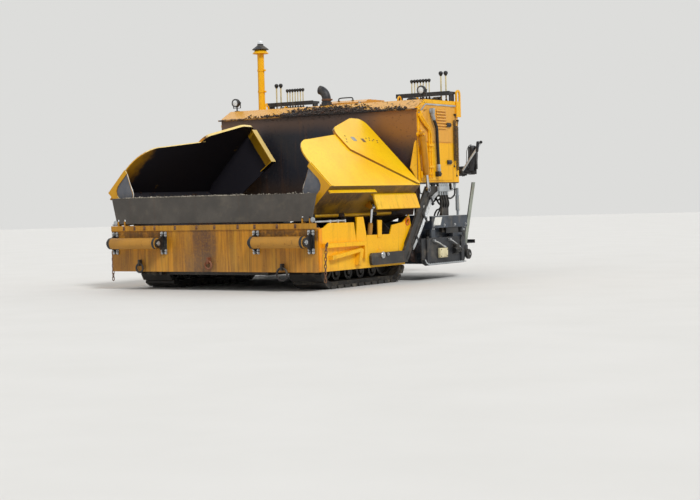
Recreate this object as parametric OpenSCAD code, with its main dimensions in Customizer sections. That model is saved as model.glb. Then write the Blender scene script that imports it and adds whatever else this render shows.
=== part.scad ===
// Tracked asphalt paver of the 8 foot class, in millimetres. The front is at -Y and the ground at z = 0.
// Every place below is first written from the bumper's front face (y = 0), and place() centres the length.

/* [Machine] */
// Width over the side panels
body_w = 2500; // [2480:10:2520]
// Thickness of the big plates
plate_t = 12; // [10:1:14]

/* [Front] */
// Height of the bumper's lower edge
bumper_z0 = 183; // [175:1:190]
// Height of the bumper plate's upper edge
bumper_z1 = 585; // [580:1:590]
// Height of the angle along the bumper's top
angle_h = 52; // [46:1:54]
// Height of the apron's upper edge
apron_z1 = 914; // [900:2:925]
// Diameter of the push rollers
push_d = 110; // [100:2:116]
// Length of one push roller
push_len = 610; // [590:2:616]
// Distance of the push roller's axis before the bumper
push_y = 100; // [96:1:110]
// Height of the push roller's axis
push_z = 465; // [455:1:475]

/* [Tracks] */
// Height of a track over its shoes
track_h = 450; // [440:2:456]
// Width of a track shoe
track_w = 370; // [350:2:374]
// Distance of a track's middle from the side of the body
track_inset = 325; // [320:1:330]
// Distance between the track's front and rear wheels
track_base = 1080; // [1040:8:1084]
// Thickness of a rubber shoe
shoe_t = 27; // [22:1:30]

/* [Hopper] */
// Distance of a wing's hinge from the middle
hinge_x = 1080; // [1075:1:1085]
// Height of a wing's hinge
hinge_z = 700; // [698:1:706]
// Width of a wing's bottom plate
wing_w = 392; // [385:1:398]
// Height of a wing's outer panel
wing_h = 640; // [625:5:650]
// Angle by which the wings stand raised
wing_lift = 45; // [40:1:45]
// Top of the conveyor's deck
deck_z = 480; // [476:1:484]

/* [Body] */
// Rear face of the hopper's bulkhead
bulk_y = 1847; // [1845:1:1850]
// Rear face of the body
body_y1 = 2700; // [2690:2:2710]
// Height of the body's floor
floor_z = 1000; // [995:1:1005]
// Height of the hood's front lip
lip_z = 1740; // [1730:2:1750]
// Height of the hood's top
hood_z = 1855; // [1850:1:1862]
// Top of the vent stack
stack_z = 2620; // [2560:5:2650]

/* [Screed] */
// Distance of the tow pin behind the bumper
pin_y = 1077; // [1070:1:1084]
// Height of the tow pin
pin_z = 297; // [292:1:300]
// Diameter of the auger flights
auger_d = 280; // [260:2:284]
// Distance of the auger's axis behind the bumper
auger_y = 1950; // [1948:1:1954]
// Height of the auger's axis
auger_z = 320; // [316:1:324]
// Underside of the screed as it is carried
screed_z0 = 152; // [150:1:156]
// Top of the screed's boxes
screed_z1 = 600; // [590:2:606]

/* [Hidden] */
$fn = 48;

half_w = body_w / 2;
track_x = half_w - track_inset;
panel_x = half_w - plate_t;

// Operator's seats, each turned about a post on its swing arm
seat_at = [890, 3160];
seat_turn = 57;
seat_w = 380;
seat_back = 300;
seat_pivot = [1120, 2745];
rear_y = seat_at[1] + seat_back * cos(seat_turn) + seat_w / 2 * sin(seat_turn);
front_y = -push_y - push_d / 2;
mid_y = (front_y + rear_y) / 2;
bumper_t = 30;
angle_z1 = bumper_z1 + angle_h;

// Colours
yellow = [0.93, 0.68, 0.08];
ochre = [0.72, 0.50, 0.12];
steel = [0.32, 0.32, 0.33];
dark = [0.12, 0.12, 0.13];
blue_grey = [0.22, 0.25, 0.30];
bright = [0.75, 0.76, 0.76];

// Frame plates beside the conveyors
frame_x0 = 640;
frame_x1 = 665;
frame_z0 = 150;
frame_z1 = 530;
frame_y1 = 2110;
beam_z = [465, 520];
beam_w = 60;
beam_ys = [150, 650, 1300];
tie_ys = [100, 900, 1640];
auger_room = 170;

// Track loop, seen from the side
track_r = track_h / 2;
belt_r = track_r - shoe_t;
belt_t = 42;
wheel_r = belt_r - belt_t - 1;
track_y0 = 475;
track_y1 = track_y0 + track_base;
shoes_straight = 9;
shoes_turn = 6;
shoe_len = 92;

// Wing cylinders, in the plane y = cyl_y
cyl_y = 1000;
cyl_foot = [track_x + track_w / 2 + 45, 222];
cyl_eye = [150, -50];
wing_y0 = 100;
wing_y1 = 1702;

// Screed lift cylinders
lift_x = 1302;
lift_top = [1861, 1491];
lift_eye = [1957, 925];

// Tow arm plates
arm_x0 = half_w + 8;
arm_t = 25;
gate_x = arm_x0 + arm_t + 8;

module place() { translate([0, -mid_y, 0]) children(); }
module both() { children(); mirror([1, 0, 0]) children(); }
module on_side(side) { mirror([side < 0 ? 1 : 0, 0, 0]) children(); }
module block(x, y, z) {
    translate([x[0], y[0], z[0]]) cube([x[1] - x[0], y[1] - y[0], z[1] - z[0]]);
}
// Extrudes an outline given as (y, z) between two places along x
module along_x(x0, x1) {
    translate([x0, 0, 0]) rotate([90, 0, 90]) linear_extrude(x1 - x0) children();
}
// Extrudes an outline given as (x, z) between two places along y
module along_y(y0, y1) {
    translate([0, y1, 0]) rotate([90, 0, 0]) linear_extrude(y1 - y0) children();
}
module rod_x(x, y, z, d) {
    translate([x[0], y, z]) rotate([0, 90, 0]) cylinder(d = d, h = x[1] - x[0]);
}
module rod_y(x, y, z, d) {
    translate([x, y[0], z]) rotate([-90, 0, 0]) cylinder(d = d, h = y[1] - y[0]);
}
module rod_z(x, y, z, d) {
    translate([x, y, z[0]]) cylinder(d = d, h = z[1] - z[0]);
}
// Length and angle of the line between two (x, z) points
function reach(a, b) = norm(b - a);
function slope(a, b) = atan2(b[1] - a[1], b[0] - a[0]);
// Turns a wing point (s, t) to its place (x, z) at rest
function wing_xz(p) = [
    hinge_x + p[0] * cos(wing_lift) - p[1] * sin(wing_lift),
    hinge_z + p[0] * sin(wing_lift) + p[1] * cos(wing_lift)
];

module main_frame() {
    color(steel) place() {
        both() along_x(frame_x0, frame_x1) polygon([
            [bumper_t, frame_z0], [auger_y - auger_room, frame_z0], [auger_y - auger_room, auger_z + auger_room],
            [frame_y1, auger_z + auger_room], [frame_y1, floor_z - 10], [bulk_y, floor_z - 10],
            [bulk_y, frame_z1], [bumper_t, frame_z1]
        ]);
        for (y = tie_ys)
            block([-frame_x0, frame_x0], [y, y + beam_w], [frame_z0, frame_z0 + beam_w]);
        both() for (y = beam_ys)
            block([frame_x1, panel_x], [y, y + beam_w], beam_z);
        block([-hood_x, hood_x], [bulk_y, body_y1 - hood_t], [floor_z - 10, floor_z]);
        both() along_x(frame_x1 + 120, frame_x1 + 132) polygon([
            [bulk_y, floor_z - 10], [bulk_y + 240, floor_z - 10], [bulk_y, floor_z - 130]
        ]);
    }
}

// Height at which a lowered wing is held
wing_rest = 677;
// Side panel outline, as (y, z) points from the front lower corner
tab_hole = [1612, 612];
module side_outline() {
    polygon([
        [bumper_t, bumper_z0], [1550, bumper_z0], [1540, 396], [1684, 572], [1651, 684],
        [1531, 607], [1320, 583], [1278, 495], [858, 499], [840, 440], [665, 440], [634, 628],
        [210, 633], [120, 592], [62, bumper_z1], [bumper_t, bumper_z1]
    ]);
}
rib_t = 8;
bar_y1 = 794;
module side_panel(side) {
    color(ochre) place() on_side(side) {
        difference() {
            along_x(panel_x, half_w) side_outline();
            rod_x([panel_x - 5, half_w + 5], tab_hole[0], tab_hole[1], 50);
        }
        // Raised ring of the lashing hole, and the tow pin on its boss
        difference() {
            rod_x([half_w, half_w + rib_t], tab_hole[0], tab_hole[1], 80);
            rod_x([half_w - 1, half_w + 10], tab_hole[0], tab_hole[1], 54);
        }
        rod_x([half_w, half_w + 8], pin_y, pin_z, 120);
        rod_x([half_w, arm_x0 + arm_t + 4], pin_y, pin_z, 50);
        // Front rib, guide bars and their end plates
        block([half_w, half_w + rib_t], [bumper_t, 80], [bumper_z0 + 8, bumper_z1]);
        block([half_w, half_w + 40], [80, bar_y1], [404, 444]);
        block([half_w, half_w + 40], [bar_y1 - 40, bar_y1], [281, 404]);
        along_x(half_w, half_w + 50) polygon([
            [187, 290], [187, 328], [685, 381], [720, 362], [670, 215], [630, 225], [655, 345]
        ]);
        // Rest post of the lowered wing, and the plate behind its cylinder
        along_x(panel_x, half_w) polygon([[665, 430], [858, 430], [842, 520], [800, wing_rest], [690, wing_rest]]);
        along_x(half_w - 60, panel_x) polygon([[745, 460], [757, 460], [757, wing_rest], [745, wing_rest]]);
        along_x(half_w, half_w + rib_t) polygon([
            [cyl_y + 44, 470], [cyl_y + 112, 470], [cyl_y + 122, 637], [cyl_y + 42, 641]
        ]);
        block([cyl_foot[0] - 30, panel_x], [cyl_y - 52, cyl_y - 36], [190, 252]);
        rod_y(cyl_foot[0], [cyl_y - 52, cyl_y + 22], cyl_foot[1], 24);
    }
}

push_x0 = 575;
push_x1 = push_x0 + push_len;
module front_bumper() {
    color(ochre) place() {
        block([-half_w, half_w], [0, bumper_t], [bumper_z0, bumper_z1]);
        along_x(-half_w, half_w) polygon([
            [-8, bumper_z1], [60, bumper_z1], [60, angle_z1 - 42], [4, angle_z1 - 42], [4, angle_z1], [-8, angle_z1]
        ]);
        both() for (x = [push_x0 - 17, push_x1 + 5]) difference() {
            union() {
                along_x(x, x + plate_t) polygon([
                    [0, push_z - 95], [0, push_z + 95], [-push_y + 8, push_z + 40], [-push_y + 8, push_z - 40]
                ]);
                rod_x([x, x + plate_t], -push_y, push_z, 80);
            }
            rod_x([x - 1, x + plate_t + 1], -push_y, push_z, 27);
        }
        both() for (x = apron_lugs) difference() {
            block([x, x + plate_t], [8, 56], [angle_z1 - 42, angle_z1 + 45]);
            rod_x([x - 1, x + plate_t + 1], apron_hinge[0], apron_hinge[1], 21);
        }
        // Toe plates under the corners and stiffeners behind the face
        both() along_x(half_w - 40, half_w - 28) polygon([
            [bumper_t, bumper_z0], [bumper_t, bumper_z1], [90, bumper_z1], [60, bumper_z0]
        ]);
    }
}

// Columns: x, height of the lug, radius of the ring
ring_table = [[-870, 262, 42], [0, 285, 36], [870, 225, 58]];
module tow_rings() {
    color(dark) place() for (r = ring_table) {
        block([r[0] - 8, r[0] + 8], [-48, 0], [r[1] - 22, r[1] + 40]);
        translate([r[0], -30, r[1] - r[2]]) rotate([90, 0, 0])
            rotate_extrude() translate([r[2], 0]) circle(d = 20, $fn = 16);
    }
}

module push_roller(side) {
    color(ochre) place() on_side(side) {
        rod_x([push_x0, push_x1], -push_y, push_z, push_d);
        rod_x([push_x0 - 22, push_x1 + 22], -push_y, push_z, 26);
    }
}

apron_hinge = [32, 662];
apron_lugs = [1080, 1165];
module apron() {
    color(steel) place() {
        difference() {
            along_y(14, 14 + 10) polygon([
                [-1190, apron_hinge[1] - 5], [1190, apron_hinge[1] - 5], [1250, apron_z1], [-1250, apron_z1]
            ]);
            both() for (x = apron_lugs)
                block([x - 5, x + plate_t + 5], [0, 40], [apron_hinge[1] - 20, apron_hinge[1] + 38]);
        }
        both() for (x = apron_lugs)
            rod_x([x + plate_t + 6, x + plate_t + 30], apron_hinge[0], apron_hinge[1], 30);
        both() rod_x([apron_lugs[0] - 3, apron_lugs[1] + plate_t + 30], apron_hinge[0], apron_hinge[1], 20);
    }
}

// Shoes: two straight runs and two half circles
module shoe() {
    along_x(-track_w / 2, track_w / 2) polygon([
        [-shoe_len / 2, 0], [shoe_len / 2, 0], [shoe_len / 2, shoe_t / 2],
        [shoe_len / 2 - 9, shoe_t + 4], [9 - shoe_len / 2, shoe_t + 4], [-shoe_len / 2, shoe_t / 2]
    ]);
}
module track(side) {
    color(dark) place() on_side(side) translate([track_x, 0, 0]) {
        along_x(-track_w / 2 + 20, track_w / 2 - 20) difference() {
            hull() for (y = [track_y0, track_y1]) translate([y, track_r]) circle(r = belt_r);
            hull() for (y = [track_y0, track_y1]) translate([y, track_r]) circle(r = belt_r - belt_t);
        }
        for (i = [0 : shoes_straight]) {
            y = track_y0 + track_base * i / shoes_straight;
            translate([0, y, shoe_t + 4]) mirror([0, 0, 1]) shoe();
            translate([0, y, track_h - shoe_t - 4]) shoe();
        }
        for (k = [1 : shoes_turn - 1]) {
            a = 180 * k / shoes_turn;
            translate([0, track_y0, track_r]) rotate([a, 0, 0]) translate([0, 0, belt_r - 4]) shoe();
            translate([0, track_y1, track_r]) rotate([-a, 0, 0]) translate([0, 0, belt_r - 4]) shoe();
        }
    }
}
// Wheel turned about its axle, with a rim, a web and a hub
module wheel(r, w, hub) {
    rotate([0, 90, 0]) rotate_extrude() polygon([
        [0, -w / 2 - 10], [hub, -w / 2 - 10], [hub, -w / 5], [r - 26, -w / 5], [r - 26, -w / 2],
        [r, -w / 2], [r, w / 2], [r - 26, w / 2], [r - 26, w / 5], [hub, w / 5], [hub, w / 2 + 10], [0, w / 2 + 10]
    ]);
}
rollers = 4;
roller_r = 70;
rail_x = [track_x - 52, track_x + 52];
rail_z = [185, 285];
module track_frame(side) {
    color(steel) place() on_side(side) {
        difference() {
            block(rail_x, [track_y0, track_y1], rail_z);
            for (y = [track_y0 + track_base * 0.4, track_y0 + track_base * 0.6])
                rod_x([rail_x[0] - 1, rail_x[1] + 1], y, rail_z[1] - 30, 40);
        }
        for (y = [track_y0, track_y1]) translate([track_x, y, track_r]) wheel(wheel_r, 130, 52);
        for (i = [1 : rollers])
            translate([track_x, track_y0 + track_base * i / (rollers + 1), track_r - belt_r + belt_t + roller_r + 1])
                wheel(roller_r, 130, 24);
        translate([track_x, (track_y0 + track_y1) / 2, track_r + belt_r - belt_t - 41]) wheel(40, 110, 12);
        block([track_x - 20, track_x + 20], [(track_y0 + track_y1) / 2 - 30, (track_y0 + track_y1) / 2 + 30],
            [rail_z[1] - 5, track_r + belt_r - belt_t - 41]);
        for (y = [track_y0 + track_base * 0.15, track_y1 - track_base * 0.25])
            block([frame_x1, rail_x[0] + 5], [y, y + 80], [rail_z[0] + 10, rail_z[1] - 10]);
        rod_x([frame_x1, track_x - 60], track_y1, track_r, 220);
    }
}

knuckle_d = 44;
// Columns: start and end along y of the knuckles that stay with the hopper
knuckles = [[100, 200], [600, 700], [1180, 1280], [1560, 1660]];
module hopper_floor() {
    color(steel) place() {
        both() {
            along_y(60, bulk_y - plate_t) polygon([
                [frame_x0, frame_z1], [frame_x1, frame_z1], [hinge_x - 28, hinge_z - 24],
                [hinge_x - 28, hinge_z - 10], [frame_x0, 545]
            ]);
            for (y = beam_ys) along_y(y + 24, y + 36) polygon([
                [frame_x1, beam_z[1]], [panel_x, beam_z[1]], [hinge_x, hinge_z - 32],
                [hinge_x - 28, hinge_z - 18], [frame_x1, 536]
            ]);
            for (k = knuckles) {
                rod_y(hinge_x, [k[0], k[1]], hinge_z, knuckle_d);
                along_y(k[0], k[1]) polygon([
                    [hinge_x - 30, hinge_z - 25], [hinge_x, hinge_z - 14], [hinge_x, hinge_z], [hinge_x - 30, hinge_z - 11]
                ]);
            }
            rod_y(hinge_x, [knuckles[0][0], knuckles[3][1]], hinge_z, 24);
        }
    }
}

// Slat conveyors: a loop of bars round each deck
deck_y = [60, 1770];
deck_t = 16;
slat_n = 13;
slat_gap = 122;
module conveyors() {
    color(steel) place() {
        block([-frame_x0, frame_x0], deck_y, [deck_z - deck_t, deck_z]);
        along_y(deck_y[0], deck_y[1]) polygon([
            [-58, deck_z], [58, deck_z], [50, deck_z + 50], [22, deck_z + 66], [-22, deck_z + 66], [-50, deck_z + 50]
        ]);
        both() {
            for (i = [0 : slat_n]) translate([0, deck_y[0] + 40 + slat_gap * i, deck_z])
                along_x(75, frame_x0 - 20) polygon([[0, 0], [34, 0], [34, 8], [12, 12], [10, 22], [0, 22]]);
            for (x = [62, frame_x0 - 18])
                block([x, x + 14], [deck_y[0] + 10, deck_y[1] - 10], [deck_z, deck_z + 18]);
            // Shafts and the chains' return run under the deck
            for (y = [deck_y[0] + 60, deck_y[1] - 70]) rod_x([0, frame_x0], y, deck_z - 90, 70);
            for (x = [62, frame_x0 - 18])
                block([x, x + 14], [deck_y[0] + 60, deck_y[1] - 70], [deck_z - 125, deck_z - 107]);
            for (i = [1 : slat_n - 1]) translate([0, deck_y[0] + 40 + slat_gap * i, deck_z - 107]) mirror([0, 0, 1])
                along_x(75, frame_x0 - 20) polygon([[0, 0], [34, 0], [34, 8], [12, 12], [10, 22], [0, 22]]);
        }
    }
}

module wing_side() {
    translate([hinge_x, 0, hinge_z]) rotate([0, -wing_lift, 0]) children();
}
wall_t = 10;
rod_eye_play = 16;
wing_pin_d = 18;
// Raised rear corner of the outer panel, as circles: y, height over the crease's frame, radius
crown = [[wing_y1 - 24, 26, 24], [978, 512, 24], [1092, 690, 140], [1500, 760, 205], [wing_y1 - 100, 862, 100]];
crown_t = 16;
module crown_outline(inset) {
    hull() for (c = crown) translate([c[0], c[1]]) circle(r = c[2] - inset, $fn = 40);
}
module wing(side) {
    color(yellow) place() on_side(side) wing_side() {
        block([30, wing_w], [wing_y0, wing_y1], [-6, 6]);
        for (k = [0 : 2]) difference() {
            union() {
                rod_y(0, [knuckles[k][1] + 5, knuckles[k + 1][0] - 5], 0, knuckle_d);
                block([0, 32], [knuckles[k][1] + 5, knuckles[k + 1][0] - 5], [-6, 6]);
            }
            rod_y(0, [knuckles[k][1], knuckles[k + 1][0]], 0, 26);
        }
        along_x(wing_w - plate_t, wing_w) wing_outline();
        // Front gusset with its flange, and the rear wall with its return along the inner edge
        along_y(wing_y0, wing_y0 + wall_t) polygon([
            [45, 0], [wing_w, 0], [wing_w, 330], [wing_w - 32, 304], [148, 205]
        ]);
        along_y(wing_y0 - 14, wing_y0 + 1) polygon([
            [60, -6], [wing_w, -6], [wing_w, 316], [wing_w - 46, 308], [wing_w - 46, 130],
            [wing_w - 66, 82], [wing_w - 104, 56], [74, 44], [60, 30]
        ]);
        along_y(wing_y1 - wall_t, wing_y1) polygon([
            [45, 0], [wing_w, 0], [wing_w, 860], [wing_w - 30, 940], [-60, 866], [-28, 690], [20, 400]
        ]);
        along_y(wing_y1 - 78, wing_y1 - wall_t + 1) polygon([
            [wing_w - 30, 940], [-60, 866], [-28, 690], [-20, 690], [-50, 859], [wing_w - 30, 931]
        ]);
        // Raised corner, pressed outward from a 12 mm sheet
        difference() {
            along_x(wing_w - plate_t, wing_w + crown_t) crown_outline(0);
            along_x(wing_w - plate_t - 1, wing_w + crown_t - plate_t) crown_outline(plate_t);
        }
        // Ribs under the outer panel and the bottom plate
        along_y(900, wing_y1) polygon([[270, -6], [283, -6], [290, -30], [226, -160], [214, -156], [275, -30]]);
        along_y(wing_y0, 900) polygon([[330, -6], [342, -6], [342, -46], [330, -46]]);
        along_x(wing_w, wing_w + 6) polygon([
            [wing_y0, -6], [wing_y0 + 34, -6], [wing_y0 + 34, wing_h - 330], [wing_y0, wing_h - 330]
        ]);
        for (y = [cyl_y - 34, cyl_y + 22])
            along_y(y, y + 12) polygon([[110, 0], [190, 0], [165, -70], [135, -70]]);
        rod_y(cyl_eye[0], [cyl_y - 34, cyl_y + 34], cyl_eye[1], wing_pin_d);
    }
}
module wing_outline() {
    r = 310;
    polygon(concat(
        [[wing_y1, -6], [wing_y0, -6], [wing_y0, wing_h - r]],
        [for (a = [180 : -10 : 90]) [wing_y0 + r + r * cos(a), wing_h - r + r * sin(a)]],
        [[1030, wing_h + 92], [1060, wing_h - 90], [1200, 410], [wing_y1, 60]]
    ));
}

// Places a cylinder's pieces: +X runs from its foot to its eye in the (x, z) plane
module along_line(a, b) {
    translate([a[0], 0, a[1]]) rotate([0, -slope(a, b), 0]) children();
}
wing_barrel_d = 50;
module wing_barrel(side) {
    color(yellow) place() on_side(side) translate([0, cyl_y, 0]) along_line(cyl_foot, wing_xz(cyl_eye)) {
        difference() {
            union() {
                rod_x([18, 380], 0, 0, wing_barrel_d);
                rod_x([380, 395], 0, 0, wing_barrel_d - 6);
                rod_x([34, 46], 0, 0, wing_barrel_d + 4);
                rod_y(0, [-18, 18], 0, 46);
                block([90, 112], [-10, 10], [20, 38]);
            }
            rod_y(0, [-20, 20], 0, 25);
            rod_x([80, 400], 0, 0, 32);
        }
    }
}
module wing_rod(side) {
    full = reach(cyl_foot, wing_xz(cyl_eye));
    color(bright) place() on_side(side) translate([0, cyl_y, 0]) along_line(cyl_foot, wing_xz(cyl_eye)) {
        difference() {
            union() {
                rod_x([260, full - 15], 0, 0, 30);
                translate([full, 0, 0]) rod_y(0, [-18, 18], 0, wing_pin_d + rod_eye_play + 20);
            }
            translate([full, 0, 0]) rod_y(0, [-20, 20], 0, wing_pin_d + rod_eye_play);
        }
    }
}

module bulkhead() {
    color(ochre) place() {
        along_y(bulk_y - plate_t, bulk_y) polygon([
            [-half_w, lip_z], [half_w, lip_z], [half_w, floor_z], [1180, 672], [1100, 672],
            [frame_x1, frame_z1], [frame_x0 - 15, frame_z1], [frame_x0 - 15, 750],
            [15 - frame_x0, 750], [15 - frame_x0, frame_z1], [-frame_x1, frame_z1],
            [-1100, 672], [-1180, 672], [-half_w, floor_z]
        ]);
        both() along_x(panel_x, half_w) polygon([
            [bulk_y - plate_t, 1430], [bulk_y - 40, 1405], [wing_y1 + 10, 1147], [bulk_y - plate_t, floor_z + 20]
        ]);
        // Rolled edge over the tunnel's mouth
        rod_x([15 - frame_x0, frame_x0 - 15], bulk_y - plate_t - 8, 750, 26);
    }
}

lip_y = 1812;
hood_y = 2010;
hood_t = 5;
hood_x = half_w - hood_t;
side_z = lip_z + 12 + (hood_z - lip_z - 12) * (bulk_y - lip_y) / (hood_y - lip_y);
hatch_x = [-165, 407];
hatch_y = [2200, 2590];
// Hinge of the hatch's lid along its rear edge
hinge_at = [hatch_x[0] + 110, hatch_x[1] - 110];
hatch_pin = [hatch_y[1] + 14, hood_z + 14];
trim_t = 6;
module hood() {
    color(yellow) place() {
        both() along_x(hood_x - 1, half_w) polygon([
            [bulk_y, floor_z], [body_y1, floor_z], [body_y1, hood_z], [hood_y, hood_z], [bulk_y, side_z]
        ]);
        block([-hood_x, hood_x], [body_y1 - hood_t, body_y1], [floor_z - 10, hood_z]);
        difference() {
            along_x(-hood_x, hood_x) polygon([
                [bulk_y, lip_z], [bulk_y, side_z - hood_t], [hood_y + 2, hood_z - hood_t],
                [body_y1 - hood_t, hood_z - hood_t], [body_y1 - hood_t, hood_z],
                [hood_y, hood_z], [lip_y, lip_z + 12], [lip_y, lip_z]
            ]);
            block([hatch_x[0] + 20, hatch_x[1] - 20], [hatch_y[0] + 20, hatch_y[1] - 20], [hood_z - 20, hood_z + 20]);
        }
        // Lip corners, and the band, pillar and door panels of each side
        both() block([hood_x - 1, half_w + 27], [lip_y, bulk_y], [lip_z, lip_z + 15]);
        both() along_x(half_w, half_w + trim_t) polygon([
            [bulk_y + 8, side_z - 4], [hood_y, hood_z - 2], [body_y1 - 60, hood_z - 2], [body_y1 - 60, hood_z - 42],
            [hood_y + 6, hood_z - 42], [bulk_y + 8, side_z - 48]
        ]);
        both() block([half_w, half_w + trim_t], [bulk_y + 8, bulk_y + 44], [floor_z + 8, side_z - 60]);
        both() along_x(half_w, half_w + trim_t) door_panel([bulk_y + 56, body_y1 - 150], [floor_z + 420, hood_z - 60]);
        both() along_x(half_w, half_w + trim_t) door_panel([bulk_y + 56, body_y1 - 150], [floor_z + 20, floor_z + 404]);
        both() {
            rod_x([half_w, half_w + 12], lift_top[0], lift_top[1], 60);
            rod_x([half_w, lift_x + 22], lift_top[0], lift_top[1], 24);
        }
        both() for (z = [seat_arm_z - 14, seat_arm_z + 45]) difference() {
            block([seat_pivot[0] - 40, seat_pivot[0] + 40], [body_y1, seat_pivot[1] + 30], [z, z + 10]);
            rod_z(seat_pivot[0], seat_pivot[1], [z - 1, z + 11], 31);
        }
        for (x = hinge_at) rod_x([x - 22, x + 22], hatch_pin[0], hatch_pin[1], 16);
        for (x = hinge_at) block([x - 22, x + 22], [hatch_pin[0] - 8, hatch_pin[0] + 8], [hood_z, hatch_pin[1]]);
        rod_x([hinge_at[0] - 60, hinge_at[1] + 60], hatch_pin[0], hatch_pin[1], 8);
    }
}
module door_panel(y, z) {
    r = 24;
    translate([y[0], z[0] + r]) square([y[1] - y[0], z[1] - z[0] - 2 * r]);
    translate([y[0] + r, z[0]]) square([y[1] - y[0] - 2 * r, z[1] - z[0]]);
    for (a = [y[0] + r, y[1] - r], b = [z[0] + r, z[1] - r]) translate([a, b]) circle(r = r);
}
module hatch() {
    color(yellow) place() {
        difference() {
            along_x(hatch_x[0], hatch_x[1]) polygon([
                [hatch_y[0], hood_z + 0.3], [hatch_y[1], hood_z + 0.3], [hatch_y[1], hood_z + 56],
                [hatch_y[0] + 70, hood_z + 56], [hatch_y[0], hood_z + 30]
            ]);
            along_x(hatch_x[0] + 6, hatch_x[1] - 6) polygon([
                [hatch_y[0] + 6, hood_z], [hatch_y[1] - 6, hood_z], [hatch_y[1] - 6, hood_z + 50],
                [hatch_y[0] + 71, hood_z + 50], [hatch_y[0] + 6, hood_z + 26]
            ]);
        }
        for (x = hinge_at, d = [-1, 1]) difference() {
            union() {
                rod_x([x + d * 38 - 14, x + d * 38 + 14], hatch_pin[0], hatch_pin[1], 16);
                block([x + d * 38 - 14, x + d * 38 + 14], [hatch_y[1] - 1, hatch_pin[0]], [hatch_pin[1], hatch_pin[1] + 8]);
            }
            rod_x([x + d * 38 - 15, x + d * 38 + 15], hatch_pin[0], hatch_pin[1], 9);
        }
    }
}
engine_y = [1920, 2440];
engine_x = 270;
engine_z1 = 1550;
module engine_block() {
    color(steel) place() {
        block([-engine_x, engine_x], engine_y, [floor_z, floor_z + 180]);
        block([-engine_x + 80, engine_x - 80], [engine_y[0] + 40, engine_y[1] - 40], [floor_z + 175, engine_z1 - 70]);
        along_x(-engine_x + 110, engine_x - 110) polygon([
            [engine_y[0] + 80, engine_z1 - 75], [engine_y[1] - 80, engine_z1 - 75],
            [engine_y[1] - 120, engine_z1], [engine_y[0] + 120, engine_z1]
        ]);
    }
}
stack_y = 2070;
pipe_d = 95;
bend_r = 105;
bend_turn = 78;
module exhaust() {
    color(dark) place() translate([0, stack_y, hood_z]) {
        cylinder(d = 150, h = 10);
        cylinder(d = pipe_d + 16, h = 40);
        cylinder(d = pipe_d, h = 72);
        translate([-bend_r, 0, 72]) rotate([90, 0, 0]) difference() {
            rotate_extrude(angle = bend_turn) translate([bend_r, 0]) circle(d = pipe_d);
            rotate([0, 0, 30]) rotate_extrude(angle = bend_turn) translate([bend_r, 0]) circle(d = pipe_d - 12);
        }
    }
}
vent_at = [-1106, 2400];
module vent_stack() {
    color(yellow) place() translate([vent_at[0], vent_at[1], 0]) {
        translate([0, 0, hood_z]) cylinder(d = 150, h = 12);
        translate([0, 0, hood_z]) cylinder(d = 75, h = stack_z - hood_z - 60);
        // Rain cap, open below, with the beacon on it
        translate([0, 0, stack_z - 112]) rotate_extrude() polygon([
            [36, 0], [42, 0], [42, 44], [84, 6], [90, 6], [90, 12], [44, 64], [30, 70], [0, 70], [0, 60], [36, 52]
        ]);
        translate([0, 0, stack_z - 46]) cylinder(d1 = 62, d2 = 46, h = 36);
        translate([0, 0, stack_z - 12]) cylinder(d1 = 46, d2 = 20, h = 12);
    }
}
lamp_x = 1200;
lamp_y = [2030, 2090];
module work_lamps() {
    color(dark) place() both() {
        translate([lamp_x, lamp_y[0], hood_z + 95]) rotate([-90, 0, 0]) rotate_extrude() polygon([
            [0, 6], [40, 6], [40, 0], [46, 0], [46, 30], [30, lamp_y[1] - lamp_y[0]], [0, lamp_y[1] - lamp_y[0]]
        ]);
        rod_z(lamp_x, lamp_y[0] + 30, [hood_z, hood_z + 70], 16);
        rod_z(lamp_x, lamp_y[0] + 30, [hood_z, hood_z + 8], 56);
    }
}

// Levers of a console: x of the first one, then a fixed step
lever_z = 2095;
tall_z = 2160;
lever_step = 36;
rail_y = [2560, 2680];
rail_top = [1932, 1958];
module lever(x, y, z, d, ball) {
    rod_z(x, y, [hood_z, z], d);
    translate([x, y, z]) sphere(d = ball, $fn = 20);
}
module console(side, x, first, tall) {
    color(dark) place() on_side(side) {
        block([x[0], x[1]], rail_y, rail_top);
        block([x[0], x[1]], [rail_y[0] - 4, rail_y[0]], [rail_top[0] - 14, rail_top[1] + 6]);
        for (e = [x[0] + 6, x[1] - 26])
            block([e, e + 20], [rail_y[0] + 20, rail_y[1] - 20], [hood_z, rail_top[0] + 1]);
        block([first - 20, first + 6 * lever_step + 20], [2595, 2645], [hood_z, hood_z + 34]);
        for (i = [0 : 6]) lever(first + lever_step * i, 2620, lever_z, 12, 34);
        for (t = tall) lever(t, 2640, tall_z, 16, 44);
    }
}
module console_l() { console(1, [575, 1240], 740, [1090, 1150]); }
module console_r() { console(-1, [510, 1140], 690, [1010, 1070]); }

module lift_plates() {
    color(yellow) place() both() difference() {
        along_x(half_w, half_w + 14) hull() {
            translate([2700, 1930]) circle(r = 48);
            translate([2652, 1690]) square([96, 10]);
        }
        along_x(half_w - 1, half_w + 15) hull() {
            translate([2700, 1935]) circle(r = 22);
            translate([2700, 1870]) circle(r = 22);
        }
    }
}

module auger_drive() {
    color(steel) place() {
        block([-30, 30], [auger_y - 60, auger_y + 60], [auger_z - 90, floor_z - 10]);
        both() difference() {
            block([1160, 1180], [auger_y - 45, auger_y + 45], [auger_z - 40, floor_z - 10]);
            rod_x([1150, 1190], auger_y, auger_z, 62);
        }
    }
}
auger_x = [36, 1155];
turns = 4;
module auger(side) {
    color(dark) place() on_side(side) translate([0, auger_y, auger_z]) {
        rod_x([auger_x[0], auger_x[1] + 22], 0, 0, 60);
        translate([auger_x[0] + 10, 0, 0]) rotate([0, 90, 0])
            linear_extrude(auger_x[1] - auger_x[0] - 20, twist = -360 * turns, slices = 16 * turns, $fn = 6)
                translate([0, -9]) square([auger_d / 2, 18]);
    }
}

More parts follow.
